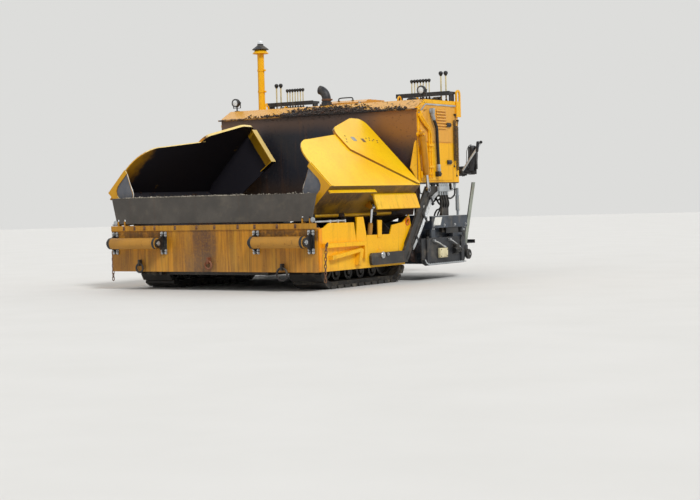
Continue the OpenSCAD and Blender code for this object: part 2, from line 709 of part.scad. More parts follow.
module arm_outline() {
    polygon([
        [880, 235], [900, 205], [1545, 205], [2035, 850], [2260, 850], [2260, screed_z1 - 120], [2400, screed_z1 - 120],
        [2400, 960], [1960, 960], [1490, 322], [900, 322], [880, 300]
    ]);
}
module tow_arm(side) {
    color(blue_grey) place() on_side(side) {
        difference() {
            union() {
                along_x(arm_x0, arm_x0 + arm_t) arm_outline();
                rod_x([arm_x0 + arm_t, lift_x + 14], lift_eye[0], lift_eye[1], 24);
                rod_x([arm_x0 + arm_t, arm_x0 + arm_t + 10], 1160, 303, 34);
                along_x(arm_x0 + arm_t, arm_x0 + arm_t + 6) polygon([
                    [1530, 240], [1560, 240], [2030, 870], [2360, 870], [2360, 900], [2000, 900]
                ]);
                block([main_x, arm_x0], [2270, 2390], [screed_z1 - 110, screed_z1 - 10]);
            }
            rod_x([arm_x0 - 1, arm_x0 + arm_t + 1], pin_y, pin_z, 52);
        }
    }
}
main_x = 1240;
main_y = [2140, 2430];
tube_d = 60;
tube_z = screed_z1 - 60;
tube_y = [2500, 2620];
// Both sides' guide tubes pass through every collar plate
collar_x = [75, 1150];
skin_t = 12;
main_ribs = [0, 310, 620, 930];
module main_outline() {
    polygon([
        [main_y[0], screed_z0 + 170], [main_y[0] + 20, screed_z0 + 60], [main_y[0] + 70, screed_z0],
        [main_y[1], screed_z0], [main_y[1], screed_z1], [main_y[0] + 60, screed_z1],
        [main_y[0] + 60, screed_z1 - 90], [main_y[0], screed_z1 - 90]
    ]);
}
module screed_main() {
    color(blue_grey) place() {
        // Front wall, sole plate and deck, open to the rear between the diaphragms
        difference() {
            along_x(-main_x, main_x) main_outline();
            along_x(-main_x - 1, main_x + 1) polygon([
                [main_y[0] + skin_t, screed_z0 + 172], [main_y[0] + 20 + skin_t, screed_z0 + 64],
                [main_y[0] + 70 + skin_t / 2, screed_z0 + skin_t], [main_y[1] + 1, screed_z0 + skin_t],
                [main_y[1] + 1, screed_z1 - skin_t], [main_y[0] + 60 + skin_t, screed_z1 - skin_t],
                [main_y[0] + 60 + skin_t, screed_z1 - 90 - skin_t], [main_y[0] + skin_t, screed_z1 - 90 - skin_t]
            ]);
        }
        both() for (x = concat(main_ribs, [main_x - skin_t])) along_x(x, x + skin_t) main_outline();
        both() for (x = collar_x) difference() {
            along_x(x, x + 24) polygon([
                [main_y[1] - 1, tube_z - 44], [tube_y[1] + 50, tube_z - 44], [tube_y[1] + 50, tube_z + 40],
                [tube_y[1] + 20, tube_z + 50], [main_y[1] - 1, tube_z + 60]
            ]);
            for (y = tube_y) rod_x([x - 1, x + 25], y, tube_z, tube_d + 2);
        }
        // Heater and crown boxes on the deck
        both() for (x = [330, 760])
            along_x(x, x + 260) polygon([
                [main_y[0] + 90, screed_z1 - 1], [main_y[1] - 20, screed_z1 - 1],
                [main_y[1] - 30, screed_z1 + 60], [main_y[0] + 110, screed_z1 + 60]
            ]);
        rod_x([-170, 170], main_y[0] + 150, screed_z1 + 20, 46);
    }
}
ext_y = [2430.3, 2700];
column_w = 75;
gate_top = 430;
module ext_outline() {
    polygon([
        [ext_y[0], 260], [ext_y[0] + 50, screed_z0], [ext_y[1], screed_z0], [ext_y[1], 470], [ext_y[0], 470]
    ]);
}
module extension(side) {
    color(blue_grey) place() on_side(side) {
        // Sole plate, walls and ribs of the trough
        difference() {
            along_x(8, gate_x) ext_outline();
            along_x(7, gate_x + 1) polygon([
                [ext_y[0] + skin_t, 262], [ext_y[0] + 50 + skin_t / 2, screed_z0 + skin_t],
                [ext_y[1] - skin_t, screed_z0 + skin_t], [ext_y[1] - skin_t, 480], [ext_y[0] + skin_t, 480]
            ]);
        }
        for (x = [8, 320, 640, 960, gate_x - skin_t]) along_x(x, x + skin_t) ext_outline();
        // End frame: a beam over two columns
        block([gate_x, gate_x + 28], [1985, ext_y[1] + 30], [gate_top + 100, gate_top + 220]);
        for (y = [1985, ext_y[1] - column_w])
            block([gate_x, gate_x + 20], [y, y + column_w], [330, gate_top + 101]);
        block([gate_x, gate_x + 20], [ext_y[0], ext_y[1]], [330, 470]);
        // Its guide tube
        rod_x([-collar_x[1] - 30, gate_x + 1], side > 0 ? tube_y[0] : tube_y[1], tube_z, tube_d);
    }
}
module end_gate(side) {
    color(steel) place() on_side(side) {
        along_x(gate_x + 20.3, gate_x + 32) polygon([
            [1761, 205], [1790, 172], [1840, 152], [2632, 152], [2632, gate_top], [1761, gate_top]
        ]);
        // Ski along the foot and the slides of the height screws
        along_x(gate_x + 32, gate_x + 62) polygon([
            [1770, 214], [1800, 178], [1846, 158], [2632, 158], [2632, 170], [1850, 170], [1812, 188], [1784, 220]
        ]);
        for (y = [1850, 2560])
            block([gate_x + 32, gate_x + 46], [y, y + 60], [170, gate_top - 10]);
    }
}

module lift_line() {
    translate([0, lift_top[0], lift_top[1]])
        rotate([atan2(lift_eye[0] - lift_top[0], lift_top[1] - lift_eye[1]), 0, 0]) children();
}
lift_len = norm([lift_eye[0] - lift_top[0], lift_eye[1] - lift_top[1]]);
module lift_barrel(side) {
    color(yellow) place() on_side(side) translate([lift_x, 0, 0]) lift_line() {
        difference() {
            union() {
                rod_z(0, 0, [-400, -20], 66);
                rod_z(0, 0, [-420, -400], 58);
                rod_z(0, 0, [-60, -48], 70);
                rod_x([-14, 14], 0, 0, 54);
            }
            rod_x([-20, 20], 0, 0, 25);
            rod_z(0, 0, [-425, -90], 38);
        }
    }
}
module lift_rod(side) {
    color(bright) place() on_side(side) translate([lift_x, 0, 0]) lift_line() {
        difference() {
            union() {
                rod_z(0, 0, [-lift_len + 18, -110], 36);
                rod_x([-12, 12], 0, -lift_len, 56);
            }
            rod_x([-20, 20], 0, -lift_len, 30);
        }
    }
}
crank_at = [1190, 2762];
module depth_cranks() {
    color(bright) place() both() {
        rod_z(crank_at[0], crank_at[1], [screed_z1 + 30, 930], 28);
        rod_z(crank_at[0], crank_at[1], [screed_z1 + 30, screed_z1 + 44], 60);
        rod_z(crank_at[0], crank_at[1], [700, 860], 44);
        rod_x([crank_at[0] - 90, crank_at[0] + 10], crank_at[1], 930, 20);
        rod_z(crank_at[0] - 84, crank_at[1], [925, 985], 22);
    }
}
step_y = [2740, 3040];
step_z = [342, 350];
rail_w = 60;
module walkway() {
    color(steel) place() {
        difference() {
            block([-main_x, main_x], step_y, step_z);
            for (x = [-1000 : 300 : 800], y = [step_y[0] + 50, step_y[0] + 130, step_y[0] + 210])
                block([x, x + 200], [y, y + 36], [step_z[0] - 1, step_z[1] + 1]);
        }
        block([-main_x, main_x], [step_y[1] - 8, step_y[1]], [step_z[0], step_z[1] + 30]);
        both() block([1160, 1160 + rail_w], [2380, step_y[0] + 50], [screed_z1, screed_z1 + 30]);
        both() block([1160, 1160 + rail_w], [step_y[0] + 2, step_y[0] + 50], [step_z[1], screed_z1]);
        both() along_x(main_x, main_x + 12) polygon([[2716, 170], [2776, 170], [3050, 998], [2990, 998]]);
    }
}

seat_arm_z = 1030;
seat_z = 1090;
rest_d = 24;
module seat(side) {
    color(dark) place() on_side(side) {
        difference() {
            union() {
                rod_z(seat_pivot[0], seat_pivot[1], [seat_arm_z - 2, seat_arm_z + 43], 56);
                hull() for (p = [seat_pivot, seat_at]) rod_z(p[0], p[1], [seat_arm_z, seat_arm_z + 40], 44);
            }
            rod_z(seat_pivot[0], seat_pivot[1], [seat_arm_z - 5, seat_arm_z + 50], 31);
        }
        rod_z(seat_pivot[0], seat_pivot[1], [seat_arm_z - 16, seat_arm_z + 58], 30);
        translate([seat_at[0], seat_at[1], 0]) rotate([0, 0, -seat_turn]) {
            rod_z(0, 0, [seat_arm_z + 30, seat_z], 70);
            // Cushion and back
            along_x(-seat_w / 2, seat_w / 2) polygon([
                [-200, seat_z], [230, seat_z], [230, seat_z + 62], [120, seat_z + 62],
                [-120, seat_z + 76], [-185, seat_z + 70], [-206, seat_z + 40]
            ]);
            along_x(-seat_w / 2, seat_w / 2) polygon([
                [200, seat_z], [seat_back - 60, seat_z], [seat_back, seat_z + 110],
                [seat_back, seat_z + 250], [seat_back - 50, seat_z + 320], [210, seat_z + 320]
            ]);
            // Raised armrest on the outer side, with its pad
            rod_x([seat_w / 2, seat_w / 2 + 24], 112, seat_z + 30, 40);
            translate([seat_w / 2 + 24, 112, seat_z + 30]) rotate([-34, 0, 0]) cylinder(d = rest_d, h = 380);
            block([seat_w / 2 + 12, seat_w / 2 + 36], [258, 292], [seat_z + 225, seat_z + 345]);
        }
    }
}

// Coiled control leads, each as one tube over its coils: x and y, then its two heights
cord_d = 34;
cord_x = half_w + cord_d / 2 + 0.3;
cord_table = [[2600, 1180, 1700], [2650, 1080, 1640]];
module curly_cords() {
    color(dark) place() both() for (c = cord_table)
        rod_z(cord_x, c[0], [c[1], c[2]], cord_d);
}

main_frame();
side_panel(1);  // side_panel_l
side_panel(-1);  // side_panel_r
front_bumper();
tow_rings();
push_roller(1);  // push_roller_l
push_roller(-1);  // push_roller_r
apron();
track(1);  // track_l
track(-1);  // track_r
track_frame(1);  // track_frame_l
track_frame(-1);  // track_frame_r
hopper_floor();
conveyors();
wing(1);  // wing_l
wing(-1);  // wing_r
wing_barrel(1);  // wing_barrel_l
wing_barrel(-1);  // wing_barrel_r
wing_rod(1);  // wing_rod_l
wing_rod(-1);  // wing_rod_r
bulkhead();
hood();
hatch();
engine_block();
exhaust();
vent_stack();
work_lamps();
console_l();
console_r();
lift_plates();
auger_drive();
auger(1);  // auger_l
auger(-1);  // auger_r
tow_arm(1);  // tow_arm_l
tow_arm(-1);  // tow_arm_r
screed_main();
extension(1);  // extension_l
extension(-1);  // extension_r
end_gate(1);  // end_gate_l
end_gate(-1);  // end_gate_r
lift_barrel(1);  // lift_barrel_l
lift_barrel(-1);  // lift_barrel_r
lift_rod(1);  // lift_rod_l
lift_rod(-1);  // lift_rod_r
depth_cranks();
walkway();
seat(1);  // seat_l
seat(-1);  // seat_r
curly_cords();
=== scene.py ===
# %% [markdown]
# # A tracked asphalt paver
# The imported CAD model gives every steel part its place. This lesson dresses it: worn paint, dried asphalt,
# hoses, bolts, padded seats and coiled leads are added in the same frame, in metres, with the front at -Y.

import math
import random

import bmesh
import bpy
from mathutils import Matrix, Vector
from mathutils.bvhtree import BVHTree


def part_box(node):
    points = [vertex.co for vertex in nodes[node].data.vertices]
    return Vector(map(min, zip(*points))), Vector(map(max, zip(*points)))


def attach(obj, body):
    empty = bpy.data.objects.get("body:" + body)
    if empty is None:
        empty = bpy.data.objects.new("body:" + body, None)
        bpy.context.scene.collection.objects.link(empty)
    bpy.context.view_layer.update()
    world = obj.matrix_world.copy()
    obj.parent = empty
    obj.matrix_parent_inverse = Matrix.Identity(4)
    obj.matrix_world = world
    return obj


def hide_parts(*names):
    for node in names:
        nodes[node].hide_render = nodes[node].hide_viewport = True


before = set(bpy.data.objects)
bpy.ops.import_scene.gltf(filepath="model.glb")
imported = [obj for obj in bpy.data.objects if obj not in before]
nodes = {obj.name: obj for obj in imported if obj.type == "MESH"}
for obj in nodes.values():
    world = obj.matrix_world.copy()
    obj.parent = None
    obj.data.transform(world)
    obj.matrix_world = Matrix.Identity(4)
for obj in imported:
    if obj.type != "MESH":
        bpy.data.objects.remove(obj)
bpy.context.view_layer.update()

# %% [markdown]
# Lengths along the machine are measured from the face of the front bumper. `at` turns such a place into the
# shared frame, whose origin is in the middle of the machine's length. `on_side` does it for several places on
# one side, where s is 1 on the machine's left (+X) and -1 on its right.

# %% Places measured from the bumper
BULKHEAD_REAR = 1.847  # from the bumper's face to the bulkhead's rear face
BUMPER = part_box("bulkhead")[1].y - BULKHEAD_REAR
HALF = 1.25  # half the width over the side panels
WING_X, WING_Z = 1.08, 0.70  # the hinge line of the hopper wings
SIDES = (("left", 1), ("right", -1))
UP = Vector((0, 0, 1))


def at(x, y, z):
    return Vector((x, y + BUMPER, z))


def on_side(s, *places):
    return [at(s * x, y, z) for x, y, z in places]


print("bumper face at y =", round(BUMPER, 4))

# %% [markdown]
# ## Camera
# The camera was matched to the photograph: its place, a slight tilt, and a long lens. The roll is the small
# lean of the hand-held picture.

# %% Camera
AZIMUTH, ELEVATION, ROLL = math.radians(33.33), math.radians(1.924), math.radians(-1.47)
level = math.cos(ELEVATION)
ahead = Vector((-math.sin(AZIMUTH) * level, math.cos(AZIMUTH) * level, -math.sin(ELEVATION)))
side = Vector((math.cos(AZIMUTH), math.sin(AZIMUTH), 0))
up = side.cross(ahead)
right = math.cos(ROLL) * side + math.sin(ROLL) * up
above = -math.sin(ROLL) * side + math.cos(ROLL) * up
lens = bpy.data.cameras.new("camera")
lens.lens = 78.0  # millimetres
lens.clip_end = 200
camera = bpy.data.objects.new("camera", lens)
bpy.context.scene.collection.objects.link(camera)
eye = at(9.14, -11.445, 0.85)
camera.matrix_world = Matrix((
    (right.x, above.x, -ahead.x, eye.x),
    (right.y, above.y, -ahead.y, eye.y),
    (right.z, above.z, -ahead.z, eye.z),
    (0, 0, 0, 1),
))
bpy.context.scene.camera = camera
print("camera at", [round(v, 2) for v in camera.location])

# %% [markdown]
# ## Shader maths
# A material is easier to read as arithmetic than as a net of wires. `Wire` wraps one socket, so that
# `1 - dust * 0.5` adds the Math nodes by itself, and `Finish.node` adds any other node.


# %% Wires that take part in expressions
class Wire:
    """One output socket of a material."""

    def __init__(self, finish, socket):
        self.finish, self.socket = finish, socket

    def maths(self, operation, *values):
        return self.finish.node("ShaderNodeMath", {"operation": operation}, values)

    def __add__(self, other): return self.maths("ADD", self, other)
    def __radd__(self, other): return self.maths("ADD", other, self)
    def __sub__(self, other): return self.maths("SUBTRACT", self, other)
    def __rsub__(self, other): return self.maths("SUBTRACT", other, self)
    def __mul__(self, other): return self.maths("MULTIPLY", self, other)
    def __rmul__(self, other): return self.maths("MULTIPLY", other, self)

    def rise(self, low, high):
        """0 below low and 1 above high, with a soft step between. With low above high it falls."""
        flip = low > high
        step = self.finish.node("ShaderNodeMapRange", {"interpolation_type": "SMOOTHSTEP"},
                                {"Value": self, "From Min": min(low, high), "From Max": max(low, high)})
        return 1 - step if flip else step

    def most(self, other): return self.maths("MAXIMUM", self, other)
    def size(self): return self.maths("ABSOLUTE", self)


class Finish:
    """A material under construction."""

    def __init__(self, name):
        self.material = bpy.data.materials.new(name)
        self.material.use_nodes = True
        self.tree = self.material.node_tree
        self.shader = self.tree.nodes["Principled BSDF"]
        self.place = self.node("ShaderNodeTexCoord", {}, (), "Object")
        axes = self.node("ShaderNodeSeparateXYZ", {}, (self.place,)).socket.node
        self.x, self.y, self.z = (Wire(self, axes.outputs[i]) for i in range(3))
        facing = self.node("ShaderNodeTexCoord", {}, (), "Normal")
        turned = self.node("ShaderNodeSeparateXYZ", {}, (facing,)).socket.node
        self.sideways, self.lengthwise, self.skyward = (Wire(self, turned.outputs[i]) for i in range(3))

    def node(self, kind, settings=None, values=(), out=0):
        """Adds a node: its settings first, then a value or a Wire for each socket."""
        made = self.tree.nodes.new(kind)
        for key, value in (settings or {}).items():
            setattr(made, key, value)
        for key, value in (values.items() if isinstance(values, dict) else enumerate(values)):
            if isinstance(value, Wire):
                self.tree.links.new(value.socket, made.inputs[key])
            else:
                made.inputs[key].default_value = value
        return Wire(self, made.outputs[out])

    def noise(self, scale, detail=4.0, roughness=0.55, stretch=(1, 1, 1), shift=0.0):
        """Fractal noise over the object, around 0.5; stretch above 1 packs it along that axis."""
        spread = self.node("ShaderNodeMapping", {}, {"Vector": self.place, "Scale": stretch, "Location": (shift,) * 3})
        settings = {"Vector": spread, "Scale": scale, "Detail": detail, "Roughness": roughness}
        return self.node("ShaderNodeTexNoise", {}, settings)

    def cells(self, scale):
        """The distance from the nearest of many scattered points."""
        return self.node("ShaderNodeTexVoronoi", {}, {"Vector": self.place, "Scale": scale}, "Distance")

    def mix(self, under, over, amount):
        """Lays the colour `over` on the colour `under` where amount is 1."""
        made = self.tree.nodes.new("ShaderNodeMix")
        made.data_type = "RGBA"
        for index, value in ((6, under), (7, over), (0, amount)):  # the sockets A, B and Factor for colours
            if isinstance(value, Wire):
                self.tree.links.new(value.socket, made.inputs[index])
            else:
                made.inputs[index].default_value = value if index == 0 else (*value, 1)
        return Wire(self, made.outputs[2])

    def done(self, colour, roughness, bump=None, depth=0.001, metallic=None, **fixed):
        """Connects what varies over the surface, and sets the rest on the shader."""
        for name, value in (("Base Color", colour), ("Roughness", roughness), ("Metallic", metallic)):
            if isinstance(value, Wire):
                self.tree.links.new(value.socket, self.shader.inputs[name])
            elif value is not None:
                self.shader.inputs[name].default_value = (*value, 1) if name == "Base Color" else value
        for name, value in fixed.items():
            self.shader.inputs[name.replace("_", " ")].default_value = value
        if bump is not None:
            raised = self.node("ShaderNodeBump", {}, {"Strength": 1.0, "Distance": depth, "Height": bump}, "Normal")
            self.tree.links.new(raised.socket, self.shader.inputs["Normal"])
        return self.material


print("shader helpers ready")

# %% [markdown]
# ## Floor and light
# A large pale disc carries the machine, and a world of the same tone meets it at the horizon. Soft lamps
# stand round the machine, the strongest in front on the +X side, where the sun stood. Their level is plain,
# so that a colour renders about as it is written.


# %% Floor and lamps
def tone(code):
    """The linear colour of a web colour such as f2b40a."""
    parts = [int(code[i:i + 2], 16) / 255 for i in (0, 2, 4)]
    return tuple(c / 12.92 if c <= 0.04045 else ((c + 0.055) / 1.055) ** 2.4 for c in parts)


bpy.context.scene.view_settings.view_transform = "Standard"
ground = bmesh.new()
bmesh.ops.create_circle(ground, cap_ends=True, segments=96, radius=45)
floor_mesh = bpy.data.meshes.new("floor")
ground.to_mesh(floor_mesh)
ground.free()
floor = bpy.data.objects.new("floor", floor_mesh)
bpy.context.scene.collection.objects.link(floor)
slab = Finish("floor")
grain = slab.noise(1.3, 3)
floor_mesh.materials.append(slab.done(slab.mix(tone("d2d1cd"), tone("dbdad7"), grain), 0.85))

world = bpy.data.worlds.new("studio")
world.use_nodes = True
bpy.context.scene.world = world
backing = world.node_tree.nodes["Background"]
path = world.node_tree.nodes.new("ShaderNodeLightPath")
sky = world.node_tree.nodes.new("ShaderNodeBackground")
blend = world.node_tree.nodes.new("ShaderNodeMixShader")
output = world.node_tree.nodes["World Output"]
backing.inputs["Color"].default_value = (1, 1, 1, 1)
backing.inputs["Strength"].default_value = 0.38
sky.inputs["Color"].default_value = (*tone("dddddb"), 1)
sky.inputs["Strength"].default_value = 1.0
world.node_tree.links.new(path.outputs["Is Camera Ray"], blend.inputs[0])
world.node_tree.links.new(backing.outputs[0], blend.inputs[1])
world.node_tree.links.new(sky.outputs[0], blend.inputs[2])
world.node_tree.links.new(blend.outputs[0], output.inputs["Surface"])

LAMPS = {  # name: (where it shines from, as azimuth and height in degrees, spread, strength)
    "key": (62, 42, 14, 2.0),
    "fill": (-30, 35, 70, 0.55),
    "back_left": (-140, 40, 60, 0.7),
    "back_right": (150, 35, 60, 0.6),
}
for name, (azimuth, height, spread, strength) in LAMPS.items():
    light = bpy.data.lights.new(name, "SUN")
    light.angle = math.radians(spread)
    light.energy = strength
    lamp = bpy.data.objects.new(name, light)
    lamp.rotation_euler = (math.radians(90 - height), 0, math.radians(azimuth))
    bpy.context.scene.collection.objects.link(lamp)
print("lamps:", ", ".join(LAMPS))

# %% [markdown]
# ## Paint, tar and steel
# The machine's yellow enamel has faded where the sun reaches it. Dirt has run down it, dried asphalt clings
# to it in drops and crumbs, and rust shows where edges have rubbed bare. `enamel` lays these over the paint
# one by one, and each piece says how much of each it has. The Bevel node finds edges: near one, its rounded
# normal turns away from the surface's own.


# %% Edges, runs and crumbs
def edge_wear(f, width):
    """Near 1 along edges, broken up by noise."""
    rounded = f.node("ShaderNodeBevel", {"samples": 4}, {"Radius": width})
    true = f.node("ShaderNodeNewGeometry", {}, (), "True Normal")
    turn = f.node("ShaderNodeVectorMath", {"operation": "DOT_PRODUCT"}, (rounded, true), "Value")
    return (1 - turn).rise(0.02, 0.2) * f.noise(38, 5, 0.7).rise(0.4, 0.6)


def dirt_runs(f, scale=15, low=0.53, high=0.72):
    """Stains that ran down an upright face."""
    upright = f.skyward.size().rise(0.75, 0.35)
    return f.noise(scale, 5, 0.62, (1, 1, 0.07)).rise(low, high) * upright


def crumbs(f, scale=70, share=0.5):
    """Grains of dried asphalt, closer together where share is high."""
    patch = f.noise(6.5, 4, 0.65) + share - 0.5
    grains = f.cells(scale).rise(0.42, 0.22)
    coarse = f.cells(scale * 0.45).rise(0.3, 0.2)
    return grains.most(coarse) * patch.rise(0.5, 0.62)


def enamel(name, deep, faded, tar=0.3, rust=0.3, grime=0.35, low=0.45, dusty=0.5,
           zones=None, tarred=None, fade=0.0, asphalt=("14151a", "332a25")):
    """Worn enamel, deep in the shade and faded in the sun.

    tar, rust, grime and dusty say how much of each lies on it, and dust gathers below the height low.
    zones gives places of another shade as (mask, colour, amount), and tarred gives a mask of caked asphalt.
    """
    f = Finish(name)
    cloud = f.noise(1.9, 4, 0.6)
    bleach = (cloud + f.skyward * 0.18 + fade).rise(0.42, 0.78)
    colour = f.mix(tone(deep), tone(faded), bleach)
    for mask, shade, amount in zones(f) if zones else ():
        colour = f.mix(colour, tone(shade), mask * amount)
    mottle = f.noise(55, 4, 0.6).rise(0.42, 0.7)
    colour = f.mix(colour, tone("c98a10"), mottle * 0.22)
    runs = dirt_runs(f)
    colour = f.mix(colour, tone("8a5a1c"), runs * grime)
    dark = dirt_runs(f, 29, 0.6, 0.75)
    colour = f.mix(colour, tone("3c2c1c"), dark * (grime * 0.8))
    dust = (f.noise(4.5, 5, 0.6) * 0.6 + f.z.rise(low + 0.35, low - 0.25) * 0.55).rise(0.5, 0.8)
    colour = f.mix(colour, tone("a8977c"), dust * dusty)
    worn = edge_wear(f, 0.006)
    spots = (f.noise(23, 6, 0.72) + rust * 0.12).rise(0.7, 0.76)
    bare = worn.most(spots)
    colour = f.mix(colour, tone("6b3a1c"), bare * (0.45 + rust * 0.5))
    specks = crumbs(f, 120, tar)
    if tarred is not None:
        specks = specks.most(tarred(f))
    skin = f.mix(tone(asphalt[0]), tone(asphalt[1]), f.noise(60, 4))
    colour = f.mix(colour, skin, specks * 0.99)
    shine = 0.34 + dust * 0.3 + runs * 0.15 + bare * 0.25
    shine = shine + (0.72 - shine) * specks
    height = specks + f.noise(160, 3) * 0.12 - bare * 0.25
    return f.done(colour, shine, height, 0.0016, Coat_Weight=0.06, Coat_Roughness=0.35, Specular_IOR_Level=0.25)


print("enamel ready")


# %% [markdown]
# Steel that asphalt slides over is never painted for long: it is black, crusted and in places polished.
# `tarry` is that skin. `metal` is bare or primed steel with dust in its hollows.


# %% Tarred and plain steel
def tarry(name, dark="15120f", light="3b3029", rust=0.3, dust=0.25, scale=1.0):
    f = Finish(name)
    patches = f.noise(3.1 * scale, 5, 0.62)
    colour = f.mix(tone(dark), tone(light), patches.rise(0.35, 0.7))
    colour = f.mix(colour, tone("23252c"), f.noise(2.2, 3, shift=4.0).rise(0.5, 0.68) * 0.8)
    drips = f.noise(13, 5, 0.6, (1, 1, 0.12)).rise(0.52 - rust * 0.08, 0.68)
    colour = f.mix(colour, tone("7c4118"), drips * rust)
    powder = f.noise(11, 6, 0.7).rise(0.56, 0.75)
    colour = f.mix(colour, tone("8f8678"), powder * dust)
    grains = crumbs(f, 95 * scale, 0.62)
    colour = f.mix(colour, tone("100e0d"), grains * 0.8)
    worn = edge_wear(f, 0.005)
    colour = f.mix(colour, tone("6d5137"), worn * 0.55)
    shine = 0.52 + f.noise(17, 4).rise(0.4, 0.6) * 0.25
    return f.done(colour, shine, grains + f.noise(48, 5, 0.7) * 0.8, 0.0022)


def metal(name, dark, light, rust=0.25, dust=0.3, metallic=0.0, rough=0.5, bump=0.0007, zones=None):
    f = Finish(name)
    colour = f.mix(tone(dark), tone(light), f.noise(4.5, 5, 0.6).rise(0.32, 0.7))
    for mask, shade, amount in zones(f) if zones else ():
        colour = f.mix(colour, tone(shade), mask * amount)
    runs = dirt_runs(f, 21)
    colour = f.mix(colour, tone("5c3a20"), runs * rust)
    spots = (f.noise(31, 6, 0.72)).rise(0.62, 0.72)
    colour = f.mix(colour, tone("774822"), spots * rust)
    worn = edge_wear(f, 0.004)
    colour = f.mix(colour, tone("a39a8c"), worn * 0.4)
    powder = (f.noise(8, 6, 0.65) + f.skyward * 0.12).rise(0.5, 0.75)
    colour = f.mix(colour, tone("a89c88"), powder * dust)
    shine = rough + powder * 0.25 + spots * 0.2
    bare = metallic * (1 - powder * 0.8) if metallic else 0.0
    return f.done(colour, shine, f.noise(70, 4, 0.6) + spots * 0.5, bump, bare)


print("steel ready")


# %% [markdown]
# Every node of the CAD model keeps its mesh and takes a finish. Two masks say where asphalt is caked on: inside
# the hopper wings and on the hood's front lip. A `rise` with the larger number first falls instead.


# %% Where asphalt is caked on
def inside_wing(f):
    """1 on the faces of a wing that look into the hopper: its floor, its outer panel and its rear wall."""
    inward = f.sideways * f.x.maths("SIGN", f.x) * -1
    wall = (f.lengthwise * -1).rise(0.5, 0.9) * f.y.rise(BUMPER + 1.5, BUMPER + 1.6)
    corner = f.noise(3.4, 5, 0.65, shift=2.0)
    front = (f.y - BUMPER + corner * 0.5).rise(0.42, 0.62)
    out, tall = f.x.size() - WING_X, f.z - WING_Z
    edge = (tall * 0.583 - out * 0.831 + (corner - 0.5) * 0.05).rise(0.757, 0.742)
    clean = (f.y - BUMPER).rise(1.655, 1.67) * edge
    hidden = 1 - f.skyward.rise(0.4, 0.6) * ((tall - out) * 0.7071).rise(0.20, 0.24)
    return inward.rise(0.3, 0.5).most(wall * clean) * (front * 0.85 + 0.15) * corner.rise(0.2, 0.3) * hidden


def hood_front(f):
    """1 where asphalt is caked on the lip, thickest left of the exhaust, with loose clumps up the slope."""
    hump = (1 - ((f.x - 0.1) * 1.7) * ((f.x - 0.1) * 1.7)).most(0)
    reach = 0.012 + hump * 0.15 + (f.noise(9, 5, 0.7) - 0.5) * 0.22
    crust = (reach - (f.y - BUMPER - 1.812)).rise(0.0, 0.02)
    clumps = f.noise(26, 5, 0.7).rise(0.56, 0.62) * (f.y - BUMPER).rise(2.12, 1.95) * f.x.rise(-0.75, -0.2)
    return crust.most(clumps) * f.z.rise(1.71, 1.735)


print("asphalt masks ready")

# %% [markdown]
# The zones are places of another shade, such as the painted shade under a wing or the rusty middle of the bumper.
# Each is a mask, a colour and how strongly it covers the paint.


# %% Places of another shade
def wing_zones(f):
    """Painted light on a wing: a painted highlight on its pale front and on the pale tops of the rims, and painted
    shade on the ochre underside, darkest in patches with grime, on the brown front faces and rims, on the front of the
    inner face and on the rear flange.
    """
    outside = f.sideways * f.x.maths("SIGN", f.x)
    y = f.y - BUMPER
    # The ochre-brown on faces that look down is painted shade, and the darker patches on it are painted shade with
    # grime.
    under = (f.skyward * -1).rise(0.5, 0.65) * outside.rise(0.4, 0.6)
    shade_and_grime = under * (f.noise(2.4, 4, 0.6, shift=1.0) + (y - 0.9).size() * 0.14).rise(0.44, 0.6)
    # The pale yellow on the front of the crown is a painted highlight.
    pale = (y + f.noise(2.6, 3) * 0.5).rise(1.1, 0.55) * f.z.rise(1.0, 1.25)
    # The darker ochre on front-facing faces and the brown on the raised corner's front rim are painted shade.
    front = (f.lengthwise * -1).rise(0.6, 0.9) * y.rise(0.3, 0.2)
    rim = (f.lengthwise * -1).rise(0.25, 0.5) * y.rise(0.9, 0.94) * y.rise(1.35, 1.25)
    # The orange-brown on the front of the inner face is painted shade.
    inner_front_shade = (outside * -1).rise(0.3, 0.5) * y.rise(0.75, 0.35)
    # The olive-ochre on the rear flange, which faces forward, is painted shade.
    back = (f.lengthwise * -1).rise(0.7, 0.9) * y.rise(1.5, 1.6)
    # The pale cream on faces that look up and inward is a painted highlight.
    top = (outside * -1).rise(0.4, 0.6) * f.skyward.rise(0.4, 0.6)
    return ((pale, "f8d432", 0.5), (under, "715417", 0.9), (shade_and_grime, "2a1c0c", 0.85), (front, "b8801f", 0.75),
            (rim, "a8641a", 0.85), (inner_front_shade, "b06c16", 0.7), (back, "8f6d1f", 0.6), (top, "f6e2a0", 0.75))


def hood_zones(f):
    """A tan top, a brown front lip, and a tan-orange upper panel on each side door, which is painted shade."""
    tan = f.skyward.rise(0.4, 0.7)
    lip = (f.y - BUMPER).rise(1.835, 1.815) * f.z.rise(1.70, 1.73)
    # The tan-orange upper panel of each side door is painted shade.
    door = f.sideways.size().rise(0.6, 0.8) * (f.y - BUMPER).rise(1.9, 1.91)
    door = door * f.z.rise(1.408, 1.414) * f.z.rise(1.80, 1.79)
    return (tan, "c8924a", 0.75), (lip, "6e4a2a", 0.85), (door, "d89a48", 0.7)


